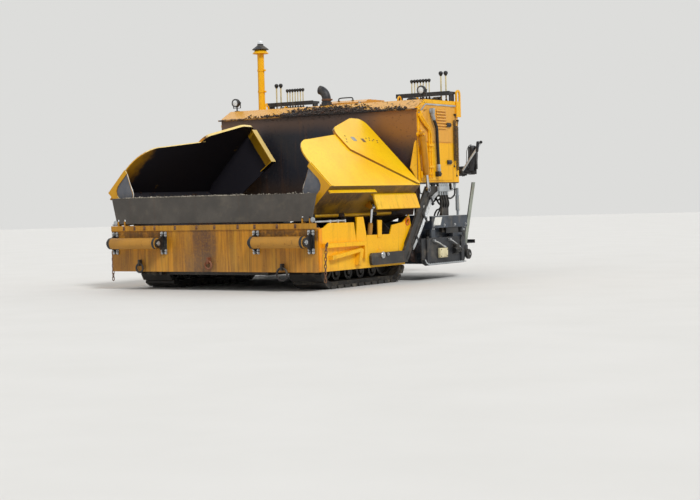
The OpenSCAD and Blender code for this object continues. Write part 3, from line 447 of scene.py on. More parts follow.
def bumper_zones(f):
    """Streaks down the whole face, a soft smear where mix ran over its middle, and a dark band about the rollers that
    is painted shadow of the rollers, with some tar.
    """
    rusty = f.noise(5, 5, 0.65, (1, 1, 0.25), shift=3.0).rise(0.45, 0.65)
    fine = f.noise(34, 4, 0.6, (1, 1, 0.04), shift=5.0).rise(0.45, 0.62)
    golden = f.noise(7, 4, 0.6, (1, 1, 0.12), shift=8.0).rise(0.52, 0.66)
    middle = (f.x + 0.12 + (f.noise(6, 4, 0.6, (1, 1, 0.25)) - 0.5) * 0.5).size().rise(0.30, 0.04)
    # A dark band at the rollers' height, beside and above them, is painted shadow of the rollers, with some tar in it.
    shade_and_grime = ((f.z - 0.525).size().rise(0.075, 0.03) * f.x.size().rise(0.5, 0.6)) * f.noise(8, 4, 0.6).rise(0.3, 0.5)
    corner = f.x.rise(-0.85, -1.2) * f.z.rise(0.5, 0.25)
    strip = f.z.rise(0.584, 0.588)
    return ((rusty, "8d5c1c", 0.55), (golden, "c8962c", 0.45), (fine, "6a4216", 0.5), (middle, "4c3832", 0.8),
            (shade_and_grime, "2b201a", 0.75), (corner, "7a4a1c", 0.5), (strip, "b58428", 0.5))


def panel_zones(f):
    """The front rib is orange, the ring round the lashing hole has been painted red, and the lower part is a painted
    shade of darker orange.
    """
    y = f.y - BUMPER
    proud = f.x.size().rise(HALF + 0.0002, HALF + 0.0012)
    rib = proud * y.rise(0.081, 0.079)
    across, tall = y - 1.612, f.z - 0.612
    ring = proud * (across * across + tall * tall).rise(0.00172, 0.00166)
    # Darker orange along the bottom of the panel is painted shade.
    low = (y * 0.12 + f.z + f.noise(3, 4) * 0.1).rise(0.32, 0.24)
    return (rib, "f0930e", 0.85), (ring, "cf4316", 0.85), (low, "dd9206", 0.5)


def ring_zones(f):
    """The middle tow ring is rusty."""
    return (f.x.size().rise(0.15, 0.10), "7c4322", 0.9),


print("zones ready")

# %% [markdown]
# The bulkhead takes most of the heat and dirt, so it has a finish of its own. `plain` is for small parts, which
# need no more than two shades and some soil.


# %% Bulkhead and small parts
def bulkhead():
    """Steel behind the hopper: blue-black where mix leans on it, rusty brown above and towards the sides."""
    f = Finish("bulkhead under asphalt")
    drift = (f.noise(1.6, 4, 0.6) - 0.5) * 0.5
    colour = f.mix(tone("1d1f29"), tone("463532"), (f.x + drift).rise(0.05, 0.75))
    colour = f.mix(colour, tone("5c463b"), (f.x + drift).rise(-0.72, -1.05) * 0.8)
    colour = f.mix(colour, tone("5f4636"), (f.z + drift * 0.25).rise(1.52, 1.68) * 0.75)
    colour = f.mix(colour, tone("8f5f2e"), (f.x + drift * 0.6).rise(0.5, 0.95) * (f.z + drift * 0.4).rise(1.28, 1.6))
    colour = f.mix(colour, tone("3b2c22"), (f.z + drift * 0.3).rise(1.15, 0.95) * 0.8)
    streak = f.noise(17, 4, 0.6, (1, 1, 0.09)).rise(0.5, 0.7)
    colour = f.mix(colour, tone("6a4526"), streak * 0.22)
    cheek = f.x.size().rise(1.236, 1.2375) * (f.y - BUMPER).rise(1.8345, 1.833)
    colour = f.mix(colour, tone("eeb010"), cheek * 0.95)
    scab = f.noise(30, 6, 0.75).rise(0.58, 0.66)
    colour = f.mix(colour, tone("100f12"), scab * 0.55)
    worn = edge_wear(f, 0.006)
    colour = f.mix(colour, tone("8a5c34"), worn * 0.6)
    return f.done(colour, 0.5 + scab * 0.25, scab + f.noise(60, 5, 0.7) * 0.6, 0.0018)


def plain(name, shade, other, rough=0.4, grain=90.0, soil=0.25, bump=0.0003, metallic=None, **fixed):
    """A small part's finish: one shade with a cloudy second one, fine grain, and soil in patches."""
    f = Finish(name)
    colour = f.mix(tone(shade), tone(other), f.noise(7, 4, 0.6).rise(0.35, 0.7))
    grime = f.noise(19, 6, 0.7).rise(0.5, 0.72)
    colour = f.mix(colour, tone("5f5140"), grime * soil)
    shine = rough + grime * 0.25
    return f.done(colour, shine, f.noise(grain, 4, 0.6), bump, metallic, **fixed)


print("bulkhead and small parts ready")

# %% [markdown]
# These are all the finishes, by the short name that the pieces use. The colours are web colours.

# %% All finishes
finishes = {
    "yellow": enamel("yellow enamel", "f0ae06", "f3b81c", dusty=0.25),
    "panel": enamel("side panel enamel", "f4b400", "fabf04", tar=0.2, rust=0.15, low=0.3, dusty=0.12,
                    zones=panel_zones),
    "wing": enamel("wing enamel", "f0b400", "f5c60c", tar=0.25, rust=0.25, dusty=0.2, zones=wing_zones,
                   tarred=inside_wing, fade=0.04, asphalt=("141b2e", "29262a")),
    "hood": enamel("hood enamel", "f1b006", "f4ba1a", tar=0.34, rust=0.3, dusty=0.22, zones=hood_zones,
                   tarred=hood_front, fade=0.02),
    "hatch": enamel("hatch enamel", "d79a2e", "cf9b50", tar=0.34, rust=0.3, fade=0.1),
    "bumper": enamel("bumper enamel", "c8861a", "bd8424", tar=0.22, rust=0.5, grime=0.5, low=0.35, dusty=0.12,
                     zones=bumper_zones),
    "roller": enamel("roller enamel", "b5802a", "96692a", tar=0.3, rust=0.7, grime=0.6, low=0.6, dusty=0.08),
    "ochre": enamel("cylinder enamel", "b87e1a", "d19a2c", tar=0.3, rust=0.5, grime=0.7, low=0.6, dusty=0.2),
    "tar": tarry("dried asphalt on steel"),
    "bulkhead": bulkhead(),
    "apron": metal("apron rubber", "433f3a", "504b45", rust=0.12, dust=0.12, rough=0.68),
    "ring": metal("ring iron", "1c1b1a", "34312d", rust=0.3, dust=0.2, rough=0.6, bump=0.0012, zones=ring_zones),
    "frame": metal("frame steel", "222120", "36332f", rust=0.3, dust=0.25),
    "dark": metal("dark steel", "17191d", "2b2e33", rust=0.15, dust=0.2),
    "screed": metal("screed paint", "20262e", "3a434e", rust=0.1, dust=0.28, rough=0.42),
    "grey": metal("grey paint", "8c9296", "a9aeb0", rust=0.15, dust=0.25),
    "slate": metal("slate rubber sheet", "4a4d54", "62646a", rust=0.08, dust=0.35, rough=0.6),
    "pale": metal("scuffed step paint", "787d72", "989d90", rust=0.12, dust=0.4),
    "dust": metal("pale asphalt dust", "8f887a", "bdb6a6", rust=0.05, dust=0.4, rough=0.8),
    "rusty": metal("rusty iron", "5a3a26", "7a5130", rust=0.5, dust=0.35, rough=0.75, bump=0.0015),
    "chrome": metal("rod chrome", "b9bcc0", "d7d9dc", rust=0.04, dust=0.05, metallic=1.0, rough=0.16, bump=0.0001),
    "track": metal("track steel", "242322", "3c3a37", rust=0.1, dust=0.45, rough=0.7, bump=0.0015),
    "plastic": metal("black plastic", "131314", "1f2022", rust=0.0, dust=0.12, rough=0.4),
    "cord": metal("cord rubber", "101011", "1b1b1c", rust=0.0, dust=0.1, rough=0.5),
    "bright": plain("bright strip", "c4c6c6", "a7a9aa", 0.3, soil=0.3, metallic=0.6),
    "glass": plain("lamp glass", "d8dde0", "eef1f2", 0.12, soil=0.18, bump=0.0001, Coat_Weight=0.6),
    "cream": plain("cream plastic", "d9cfa8", "c6b98d", 0.5, soil=0.35),
    "white": plain("blank label", "e4e3dc", "d2d0c7", 0.45, soil=0.3),
    "vinyl": plain("seat vinyl", "15161a", "202126", 0.46, grain=260, soil=0.22, bump=0.0006),
}
print("finishes:", ", ".join(finishes))

# %% [markdown]
# A node takes the finish of the longest key that its name starts with, so `push_roller` serves both rollers.

# %% Finishes for the CAD nodes
NODE_FINISH = {
    "main_frame": "frame", "side_panel": "panel", "front_bumper": "bumper", "tow_rings": "ring",
    "push_roller": "roller", "apron": "apron", "track_l": "track", "track_r": "track", "track_frame": "frame",
    "hopper_floor": "tar", "conveyors": "tar", "wing_l": "wing", "wing_r": "wing", "wing_barrel": "ochre",
    "wing_rod": "chrome", "bulkhead": "bulkhead", "hood": "hood", "hatch": "hatch", "engine_block": "dark",
    "exhaust": "dark", "vent_stack": "yellow", "work_lamps": "dark", "console": "dark", "lift_plates": "yellow",
    "auger_drive": "tar", "auger_l": "tar", "auger_r": "tar", "tow_arm": "frame", "screed_main": "screed",
    "extension": "screed", "end_gate": "dark", "lift_barrel": "ochre", "lift_rod": "chrome",
    "depth_cranks": "grey", "walkway": "dark", "seat": "plastic", "curly_cords": "cord",
}


def finish_of(node):
    """The finish of the longest key that the node's name starts with."""
    return finishes[NODE_FINISH[max((k for k in NODE_FINISH if node.startswith(k)), key=len)]]


for name, node in nodes.items():
    node.data.materials.clear()
    node.data.materials.append(finish_of(name))
print("finished nodes:", len(nodes))

# %% [markdown]
# ## Making pieces
# Each piece starts as a bmesh that is already in its place on the machine. `settle` turns it into an object at
# the origin, gives it a finish, and lets it ride on a body of the CAD model, so that it moves when a joint does.


def settle(name, bm, finish, body="chassis", crease=35, merge=0.00005):
    """Turns a bmesh into a piece with outward faces and a finish, sharp where it turns by over crease degrees."""
    if merge:
        bmesh.ops.remove_doubles(bm, verts=bm.verts, dist=merge)
    bmesh.ops.recalc_face_normals(bm, faces=bm.faces)
    mesh = bpy.data.meshes.new(name)
    bm.to_mesh(mesh)
    bm.free()
    for polygon in mesh.polygons:
        polygon.use_smooth = True
    mesh.set_sharp_from_angle(angle=math.radians(crease))
    mesh.materials.append(finishes[finish])
    piece = bpy.data.objects.new(name, mesh)
    bpy.context.scene.collection.objects.link(piece)
    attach(piece, body)
    return piece


# %% [markdown]
# A few shapes make nearly everything: rounded blocks, round bars, lathe pieces, cut sheets and bolts. Each one
# is added to a bmesh, so one piece can be made of many of them.


# %% Blocks, bars, lathe pieces and sheets
def block(bm, low, high, round_off=0.003, turn=None, segments=2):
    """A bar or plate between two corners, with rounded edges. turn is a matrix that places it."""
    low, high = Vector(low), Vector(high)
    scale = Matrix.Diagonal((*(high - low), 1))
    place = (turn or Matrix()) @ Matrix.Translation((low + high) / 2) @ scale
    verts = bmesh.ops.create_cube(bm, size=1, matrix=place)["verts"]
    if round_off:
        edges = list({edge for vert in verts for edge in vert.link_edges})
        bmesh.ops.bevel(bm, geom=edges, offset=round_off, offset_type="OFFSET", segments=segments,
                        profile=0.5, affect="EDGES", material=-1, clamp_overlap=True)


def bar(bm, start, end, radius, narrow=None, round_off=0.0, sides=20):
    """A round bar from start to end. narrow is the radius at its end."""
    start, end = Vector(start), Vector(end)
    way = end - start
    place = Matrix.Translation((start + end) / 2) @ way.to_track_quat("Z", "Y").to_matrix().to_4x4()
    made = bmesh.ops.create_cone(bm, cap_ends=True, segments=sides, radius1=radius, depth=way.length,
                                 radius2=radius if narrow is None else narrow, matrix=place)
    if round_off:
        caps = {face for vert in made["verts"] for face in vert.link_faces if len(face.verts) == sides}
        rims = list({edge for face in caps for edge in face.edges})
        bmesh.ops.bevel(bm, geom=rims, offset=round_off, offset_type="OFFSET", segments=2, profile=0.5,
                        affect="EDGES", material=-1, clamp_overlap=True)


def turned(bm, profile, foot, head, sides=32):
    """A lathe piece: profile holds (radius, distance from foot towards head)."""
    foot, way = Vector(foot), (Vector(head) - Vector(foot)).normalized()
    out = way.orthogonal().normalized()
    verts = [bm.verts.new(foot + out * max(radius, 0.0) + way * distance) for radius, distance in profile]
    edges = [bm.edges.new(pair) for pair in zip(verts, verts[1:])]
    bmesh.ops.spin(bm, geom=verts + edges, cent=foot, axis=way, angle=math.tau, steps=sides, use_merge=True)


def sheet_metal(bm, outline, thickness, place):
    """A flat outline, given as (u, v), pushed out by thickness. place turns (u, v, w) into the machine's frame."""
    face = bm.faces.new([bm.verts.new(place @ Vector((u, v, 0))) for u, v in outline])
    grown = bmesh.ops.extrude_face_region(bm, geom=[face])["geom"]
    lift = (place @ Vector((0, 0, thickness))) - (place @ Vector((0, 0, 0)))
    bmesh.ops.translate(bm, vec=lift, verts=[part for part in grown if isinstance(part, bmesh.types.BMVert)])


def axes(origin, u, v, w):
    """The matrix whose columns are the directions u, v and w at origin."""
    made = Matrix((Vector(u), Vector(v), Vector(w))).transposed().to_4x4()
    made.translation = Vector(origin)
    return made


def outward(s, x, y, z):
    """The frame of an upright plate on one side: u rearward, v up and w outward."""
    return axes(at(s * x, y, z), (0, 1, 0), (0, 0, 1), (s, 0, 0))


def side_block(bm, s, x, half, ys, zs, round_off=0.003):
    """A block on one side, half as thick on each side of x."""
    block(bm, at(s * x - half, ys[0], zs[0]), at(s * x + half, ys[1], zs[1]), round_off)


def bolt(bm, seat, out, size=0.016, tall=0.009):
    """A hexagon head on its washer, standing out from seat."""
    out = Vector(out).normalized()
    bar(bm, Vector(seat) - out * 0.002, Vector(seat) + out * 0.002, size * 0.78, sides=14)
    bar(bm, Vector(seat) + out * 0.001, Vector(seat) + out * tall, size * 0.56, size * 0.52, sides=6)


print("shapes ready")

# %% [markdown]
# Hoses, pipes and handles follow a smooth curve through a few places, at even steps. Blender's own curve bevel
# turns the route into a tube.


# %% Routes and tubes
def flow(points, count):
    """Gives count points at even steps along a smooth curve (Catmull-Rom) through the given ones."""
    points = [Vector(p) for p in points]
    ends = [points[0] * 2 - points[1]] + points + [points[-1] * 2 - points[-2]]
    fine = []
    for a, b, c, d in zip(ends, ends[1:], ends[2:], ends[3:]):
        for step in range(24):
            t = step / 24
            fine.append(0.5 * (2 * b + (c - a) * t + (2 * a - 5 * b + 4 * c - d) * t ** 2
                               + (3 * b - a - 3 * c + d) * t ** 3))
    fine.append(points[-1])
    walked = [0.0]
    for p, q in zip(fine, fine[1:]):
        walked.append(walked[-1] + (q - p).length)
    even, at_step = [], 0
    for index in range(count):
        goal = walked[-1] * index / (count - 1)
        while at_step < len(walked) - 2 and walked[at_step + 1] < goal:
            at_step += 1
        part = (goal - walked[at_step]) / max(walked[at_step + 1] - walked[at_step], 1e-9)
        even.append(fine[at_step].lerp(fine[at_step + 1], min(part, 1.0)))
    return even


def travelled(points):
    """The length of a route."""
    return sum((q - p).length for p, q in zip(points, points[1:]))


def tube(bm, points, radius, sides=8):
    """A round tube along points, made by Blender's curve bevel."""
    line = bpy.data.curves.new("tube", "CURVE")
    line.dimensions = "3D"
    line.bevel_depth = radius
    line.bevel_resolution = max(sides // 4, 0)
    line.use_fill_caps = True
    spline = line.splines.new("POLY")
    spline.points.add(len(points) - 1)
    for knot, point in zip(spline.points, points):
        knot.co = (*point, 1)
    holder = bpy.data.objects.new("tube", line)
    bpy.context.scene.collection.objects.link(holder)
    made = bpy.data.meshes.new_from_object(holder.evaluated_get(bpy.context.evaluated_depsgraph_get()))
    bm.from_mesh(made)
    bpy.data.objects.remove(holder)
    bpy.data.meshes.remove(made)
    bpy.data.curves.remove(line)


print("tubes ready")

# %% [markdown]
# ## Coiled leads
# Four coiled leads hang beside the hood's rear corners, from a gland under the side band to a gland near the
# floor plate. A coiled lead is a thin wire wound as a spring. The coil could be a Screw modifier, but the wire
# also needs its straight tails and the quarter bends between, so the route is worked out point by point.

# %% Coiled leads
TAIL = 0.035  # the straight wire at each end
STEPS = 16  # points in one turn
WIRE = 0.006  # the wire's diameter


def coiled(x, y, top, bottom, ring=0.014, pitch=0.0132):
    """The route of a lead that hangs in a coil round the line (x, y)."""
    start, turn = math.radians(135), math.tau / STEPS
    turns = round((top - bottom - 2 * ring - 2 * TAIL) / pitch)
    coil_top = top - TAIL - ring
    quarter = [math.radians(i * 15) for i in range(7)]

    def on_ring(angle, z):
        return at(x + ring * math.cos(angle), y + ring * math.sin(angle), z)

    along = Vector((-math.sin(start), math.cos(start), 0))
    heart = on_ring(start, coil_top + ring)
    route = [heart - along * ring + Vector((0, 0, h)) for h in (TAIL, 0.024, 0.012)]
    route += [heart - along * ring * math.cos(a) - Vector((0, 0, ring * math.sin(a))) for a in quarter[:-1]]
    route += [on_ring(start + i * turn, coil_top - pitch * i / STEPS) for i in range(turns * STEPS + 1)]
    foot = route[-1] - Vector((0, 0, ring))
    route += [foot + along * ring * math.sin(a) + Vector((0, 0, ring * math.cos(a))) for a in quarter[1:]]
    end = route[-1]
    route += [end - Vector((0, 0, h)) for h in (0.012, 0.024, TAIL)]
    return route


LEADS = ((2.600, 1.700, 1.180), (2.650, 1.640, 1.080))  # y, top and bottom
for side_name, x in (("left", 1.2673), ("right", -1.2673)):
    for number, (y, top, bottom) in enumerate(LEADS, 1):
        route = coiled(x, y, top, bottom)
        bm = bmesh.new()
        tube(bm, route, WIRE / 2)
        lead = settle(f"coiled_lead_{side_name}_{number}", bm, "cord", crease=80)
        glands = bmesh.new()
        shape = [(0.0, -0.020), (0.0045, -0.020), (0.0055, 0.0), (0.009, 0.002), (0.009, 0.016), (0.0, 0.016)]
        for point, way in ((route[0], 1), (route[-1], -1)):
            turned(glands, shape, point, point + Vector((0, 0, way)), sides=16)
            inner = point + Vector((0, 0, way * 0.012))
            wall = Vector((math.copysign(HALF, x), inner.y, inner.z))
            block(glands, [min(a, b) - 0.009 for a, b in zip(inner, wall)],
                  [max(a, b) + 0.009 for a, b in zip(inner, wall)], 0.002)
        ends = settle(f"lead_glands_{side_name}_{number}", glands, "plastic")
        travelled(route)
        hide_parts("curly_cords")
        print(lead.name, "wire", round(travelled(route), 2), "m,", len(route), "points")

# %% [markdown]
# ## Hoses and pipes on the hood's sides
# A thick black hose comes out of a white fitting under each side band and runs down beside the screed's lift
# cylinder. Yellow hydraulic pipes bend round the cylinder's top pin. Hose ends sit in hexagon ferrules, which
# hide where the rubber would otherwise just start.

# %% Side hoses
def ferrule(bm, point, way, radius):
    """The crimped sleeve and hexagon nut on a hose end; way points out of the hose."""
    point, way = Vector(point), Vector(way).normalized()
    sleeve = [(0.0, -3.2 * radius), (radius * 1.12, -3.2 * radius), (radius * 1.25, -3.0 * radius),
              (radius * 1.2, -0.4 * radius), (radius * 0.9, 0.0), (0.0, 0.0)]
    turned(bm, sleeve, point, point + way, sides=18)
    bar(bm, point - way * radius * 0.3, point + way * radius * 1.1, radius * 1.35, sides=6)
    bar(bm, point + way * radius * 1.05, point + way * radius * 1.5, radius * 0.95, sides=16)


def hose(name, points, radius, body="chassis", count=32):
    """A hydraulic hose between two ferrules; its real length is given back."""
    route = flow(points, count)
    bm = bmesh.new()
    tube(bm, route, radius, sides=12)
    piece = settle(name, bm, "cord", body, crease=80)
    fittings = bmesh.new()
    ferrule(fittings, route[0], route[0] - route[1], radius)
    ferrule(fittings, route[-1], route[-1] - route[-2], radius)
    tips = settle(name + "_ends", fittings, "grey", body)
    travelled(route)
    return round(travelled(route), 3)


for side_name, s in SIDES:
    route = on_side(s, (1.281, 2.119, 1.690), (1.284, 2.140, 1.640), (1.284, 2.188, 1.560), (1.284, 2.197, 1.42),
                    (1.284, 2.208, 1.25), (1.284, 2.214, 1.135))
    run = hose(f"side_hose_{side_name}", route, 0.016)
    fittings = bmesh.new()
    elbow = [(0.0, 0.0), (0.024, 0.0), (0.026, 0.004), (0.026, 0.022), (0.020, 0.026), (0.020, 0.034), (0.0, 0.034)]
    turned(fittings, elbow, at(s * HALF, 2.112, 1.735), at(s * 1.3, 2.112, 1.735), sides=24)
    side_block(fittings, s, 1.281, 0.019, (2.098, 2.136), (1.706, 1.762), 0.004)
    settle(f"side_fitting_{side_name}", fittings, "grey")
    foot = bmesh.new()
    side_block(foot, s, 1.275, 0.026, (2.188, 2.240), (1.060, 1.112), 0.004)
    for y in (2.196, 2.232):
        bolt(foot, at(s * 1.301, y, 1.086), (s, 0, 0), 0.012, 0.007)
    settle(f"side_hose_foot_{side_name}", foot, "dark")
    pipes = bmesh.new()
    for shift, low in ((0.0, 1.545), (0.045, 1.50)):
        bends = ((1.262, 1.872, 1.705), (1.270, 1.880, 1.670), (1.276, 1.925, 1.622), (1.276, 1.990, 1.575),
                 (1.270, 2.045, low), (1.262, 2.062, low - 0.05), (1.262, 2.066, low - 0.2), (1.262, 2.070, 1.05))
        tube(pipes, flow([at(s * x, y + shift, z) for x, y, z in bends], 40), 0.0125, sides=12)
        for y, z in ((1.872, 1.69), (2.068, 1.33), (2.068, 1.09)):
            turned(pipes, [(0.0, -0.012), (0.018, -0.012), (0.018, 0.012), (0.0, 0.012)],
                   *on_side(s, (1.262, y + shift, z), (1.262, y + shift, z + 1)), sides=12)
    for z in (1.38, 1.16):
        block(pipes, at(s * 1.262 - 0.014, 2.040, z - 0.011), at(s * 1.262 + 0.018, 2.145, z + 0.011), 0.003)
    settle(f"side_pipes_{side_name}", pipes, "yellow")
    print(side_name, "side hose", run, "m")

# %% [markdown]
# ## Trim of the hood
# Under the yellow side band lies a bright strip, and each door has hinges, a latch and a row of louvres. All
# are small plates, so a bevel that catches the light matters more than their outline.

# %% Strips, hinges and latches
for side_name, s in SIDES:
    strip = bmesh.new()
    corners = [(1.868, 1.700), (2.012, 1.803), (2.640, 1.803)]
    for (y0, z0), (y1, z1) in zip(corners, corners[1:]):
        start, end = at(s * 1.258, y0, z0), at(s * 1.258, y1, z1)
        way = (end - start).normalized()
        place = axes(start, way, Vector((s, 0, 0)), way.cross(Vector((s, 0, 0))))
        block(strip, (0, -0.004, -0.008), ((end - start).length, 0.005, 0.008), 0.002, place)
    settle(f"bright_strip_{side_name}", strip, "bright")
    hinges = bmesh.new()
    for z in (1.50, 1.70, 1.08, 1.32):
        side_block(hinges, s, 1.268, 0.005, (1.893, 1.945), (z - 0.032, z + 0.032), 0.002)
        bar(hinges, at(s * 1.267, 1.893, z - 0.036), at(s * 1.267, 1.893, z + 0.036), 0.009, round_off=0.002, sides=14)
        for y in (1.918, 1.935):
            bolt(hinges, at(s * 1.272, y, z), (s, 0, 0), 0.008, 0.005)
    settle(f"door_hinges_{side_name}", hinges, "hood")
    latches = bmesh.new()
    for z in (1.60, 1.21):
        place = outward(s, 1.262, 2.475, z)
        block(latches, (-0.045, -0.022, 0.0), (0.045, 0.022, 0.008), 0.003, place)
        block(latches, (-0.034, -0.007, 0.006), (0.034, 0.007, 0.016), 0.003, place)
        bar(latches, place @ Vector((0.026, 0, 0.006)), place @ Vector((0.026, 0, 0.019)), 0.009, sides=14)
    settle(f"door_latches_{side_name}", latches, "dark")
    slots = bmesh.new()
    for row in range(7):
        z = 1.745 - row * 0.03
        place = outward(s, 1.261, 2.33, z)
        tilt = Matrix.Rotation(math.radians(-24), 4, "X")
        block(slots, (-0.10, -0.011, -0.001), (0.10, 0.004, 0.007), 0.003, place @ tilt)
    settle(f"door_louvres_{side_name}", slots, "hood")
print("hood trim done")

# %% [markdown]
# ## Work lamps
# Each front lamp has a bright ribbed lens in a dark rim. The lens is a shallow lathe piece; the ribs are a
# wave in its profile. A pale, smooth finish reads as glass here, because real glass would need something
# behind it.

# %% Lamp faces
LAMP_X = 1.2
for side_name, s in SIDES:
    face = at(s * LAMP_X, 2.030, 1.950)
    lens = bmesh.new()
    ridges = [(0.0, 0.010)]
    ridges += [(0.004 * i + 0.002, 0.010 - 0.00012 * i * i + (0.0008 if i % 2 else 0.0)) for i in range(9)]
    turned(lens, ridges + [(0.037, 0.002), (0.037, -0.004), (0.0, -0.004)], face, face + Vector((0, -1, 0)), sides=36)
    settle(f"lamp_lens_{side_name}", lens, "glass")
    rim = bmesh.new()
    hoop = [(0.036, -0.003), (0.036, 0.008), (0.040, 0.011), (0.0455, 0.008), (0.0475, 0.0), (0.0475, -0.016),
            (0.045, -0.018), (0.045, -0.003), (0.036, -0.003)]
    turned(rim, hoop, face, face + Vector((0, -1, 0)), sides=36)
    for turn in range(3):
        angle = math.radians(90 + turn * 120)
        bolt(rim, face + Vector((0.0425 * math.cos(angle), -0.009, 0.0425 * math.sin(angle))), (0, -1, 0), 0.005, 0.003)
    block(rim, at(s * LAMP_X - 0.05, 2.054, 1.895), at(s * LAMP_X - 0.046, 2.066, 1.955), 0.001)
    block(rim, at(s * LAMP_X + 0.046, 2.054, 1.895), at(s * LAMP_X + 0.05, 2.066, 1.955), 0.001)
    side_block(rim, s, LAMP_X, 0.05, (2.054, 2.066), (1.891, 1.896), 0.001)
    for way in (-1, 1):
        bolt(rim, at(s * LAMP_X + way * 0.05, 2.060, 1.95), (way, 0, 0), 0.010, 0.006)
    settle(f"lamp_rim_{side_name}", rim, "dark")
print("lamps done")

# %% [markdown]
# ## Padded seats
# Each operator's seat is vinyl over foam: a cushion with a rounded front edge, and a back that wraps round a
# little. A box with rounded edges would look like wood. So a slightly smaller closed shape is remeshed evenly
# and blown up by Blender's cloth pressure, and no point may move further than the cap.

# %% Filling a pad
def relax(bm, factor):
    """Draws every point towards its neighbours."""
    bmesh.ops.smooth_vert(bm, verts=bm.verts, factor=factor, use_axis_x=True, use_axis_y=True, use_axis_z=True)


VOXEL, QUICK_VOXEL = 0.006, 0.016
PRESSURE = 4.0
CAP = 0.010  # no point moves further than this
FRAMES = 20  # of cloth simulation


def plump(bm):
    """Swells a closed bmesh as a stuffed cover would, and gives back the finished mesh."""
    bmesh.ops.recalc_face_normals(bm, faces=bm.faces)
    raw = bpy.data.meshes.new("pad")
    bm.to_mesh(raw)
    bm.free()
    pad = bpy.data.objects.new("pad", raw)
    bpy.context.scene.collection.objects.link(pad)
    grid = pad.modifiers.new("grid", "REMESH")
    grid.mode, grid.voxel_size = "VOXEL", VOXEL
    even = bpy.data.meshes.new_from_object(pad.evaluated_get(bpy.context.evaluated_depsgraph_get()))
    pad.modifiers.clear()
    pad.data = even
    before = [vert.co.copy() for vert in even.vertices]
    cloth = pad.modifiers.new("cloth", "CLOTH")
    cloth.settings.use_pressure = True
    cloth.settings.uniform_pressure_force = PRESSURE
    cloth.settings.effector_weights.gravity = 0
    for step in range(1, FRAMES + 1):
        bpy.context.scene.frame_set(step)
    swollen = pad.evaluated_get(bpy.context.evaluated_depsgraph_get()).data
    for vert, old, new in zip(even.vertices, before, swollen.vertices):
        move = new.co - old
        vert.co = old + (move.normalized() * CAP if move.length > CAP else move)
    pad.modifiers.clear()
    bpy.context.scene.frame_set(1)
    smooth = bmesh.new()
    smooth.from_mesh(even)
    relax(smooth, 0.5)
    smooth.to_mesh(even)
    smooth.free()
    bpy.data.objects.remove(pad)
    bpy.data.meshes.remove(raw)
    return even


def soft_box(low, high, cuts=9):
    """A box with enough loops to be bent."""
    low, high = Vector(low), Vector(high)
    bm = bmesh.new()
    place = Matrix.Translation((low + high) / 2) @ Matrix.Diagonal((*(high - low), 1))
    bmesh.ops.create_cube(bm, size=1, matrix=place)
    bmesh.ops.subdivide_edges(bm, edges=bm.edges, cuts=cuts, use_grid_fill=True)
    return bm


# The cushion, in the seat's own frame: x across, -y forward, z up from its pan
cushion = soft_box((-0.182, -0.196, 0.012), (0.182, 0.200, 0.066))
for vert in cushion.verts:
    x, y, z = vert.co
    upper = (z - 0.012) / 0.054
    vert.co.z += upper * (0.016 * (abs(x) / 0.182) ** 3 - 0.016 * max(0.0, (-y - 0.10) / 0.096) ** 2)
    vert.co.x *= 1 - 0.05 * ((y + 0.196) / 0.396) ** 2 - 0.02 * (1 - upper)
cushion_mesh = plump(cushion)
# The back: rounded top, sides drawn forward round the operator
back = soft_box((-0.180, 0.208, 0.030), (0.180, 0.262, 0.312))
for vert in back.verts:
    x, y, z = vert.co
    tall = (z - 0.030) / 0.282
    vert.co.x *= 1 - 0.16 * max(0.0, (tall - 0.55) / 0.45) ** 2
    vert.co.y += 0.030 * math.sin(tall * math.pi * 0.75) - 0.034 * (abs(x) / 0.18) ** 2.5
back_mesh = plump(back)
print("cushion faces:", len(cushion_mesh.polygons), "back faces:", len(back_mesh.polygons))

# %% [markdown]
# The rest of a seat is hard: a moulded shell behind the back, a pan with slide rails, a pleated boot over the
# spring column, a bright armrest tube with its own hanging pad, and the arm that swings out on its hinge.

# %% Two seats on their arms
SEAT_X, SEAT_Y = 0.890, 3.160
HINGE_X, HINGE_Y = 1.120, 2.745


def seat_frame(s):
    """Places the seat's own frame on the machine; s is 1 on the left and -1 on the right."""
    turn = Matrix.Rotation(math.radians(-57), 4, "Z")
    return Matrix.Diagonal((s, 1, 1, 1)) @ Matrix.Translation(at(SEAT_X, SEAT_Y, 1.090)) @ turn


def on_seat(name, mesh, finish, s, body):
    """A copy of a pad in its place on the seat."""
    bm = bmesh.new()
    bm.from_mesh(mesh)
    bmesh.ops.transform(bm, matrix=seat_frame(s), verts=bm.verts)
    piece = settle(name, bm, finish, body, crease=180, merge=0)
    finer = piece.modifiers.new("finer", "SUBSURF")
    finer.levels = finer.render_levels = 1
    return piece


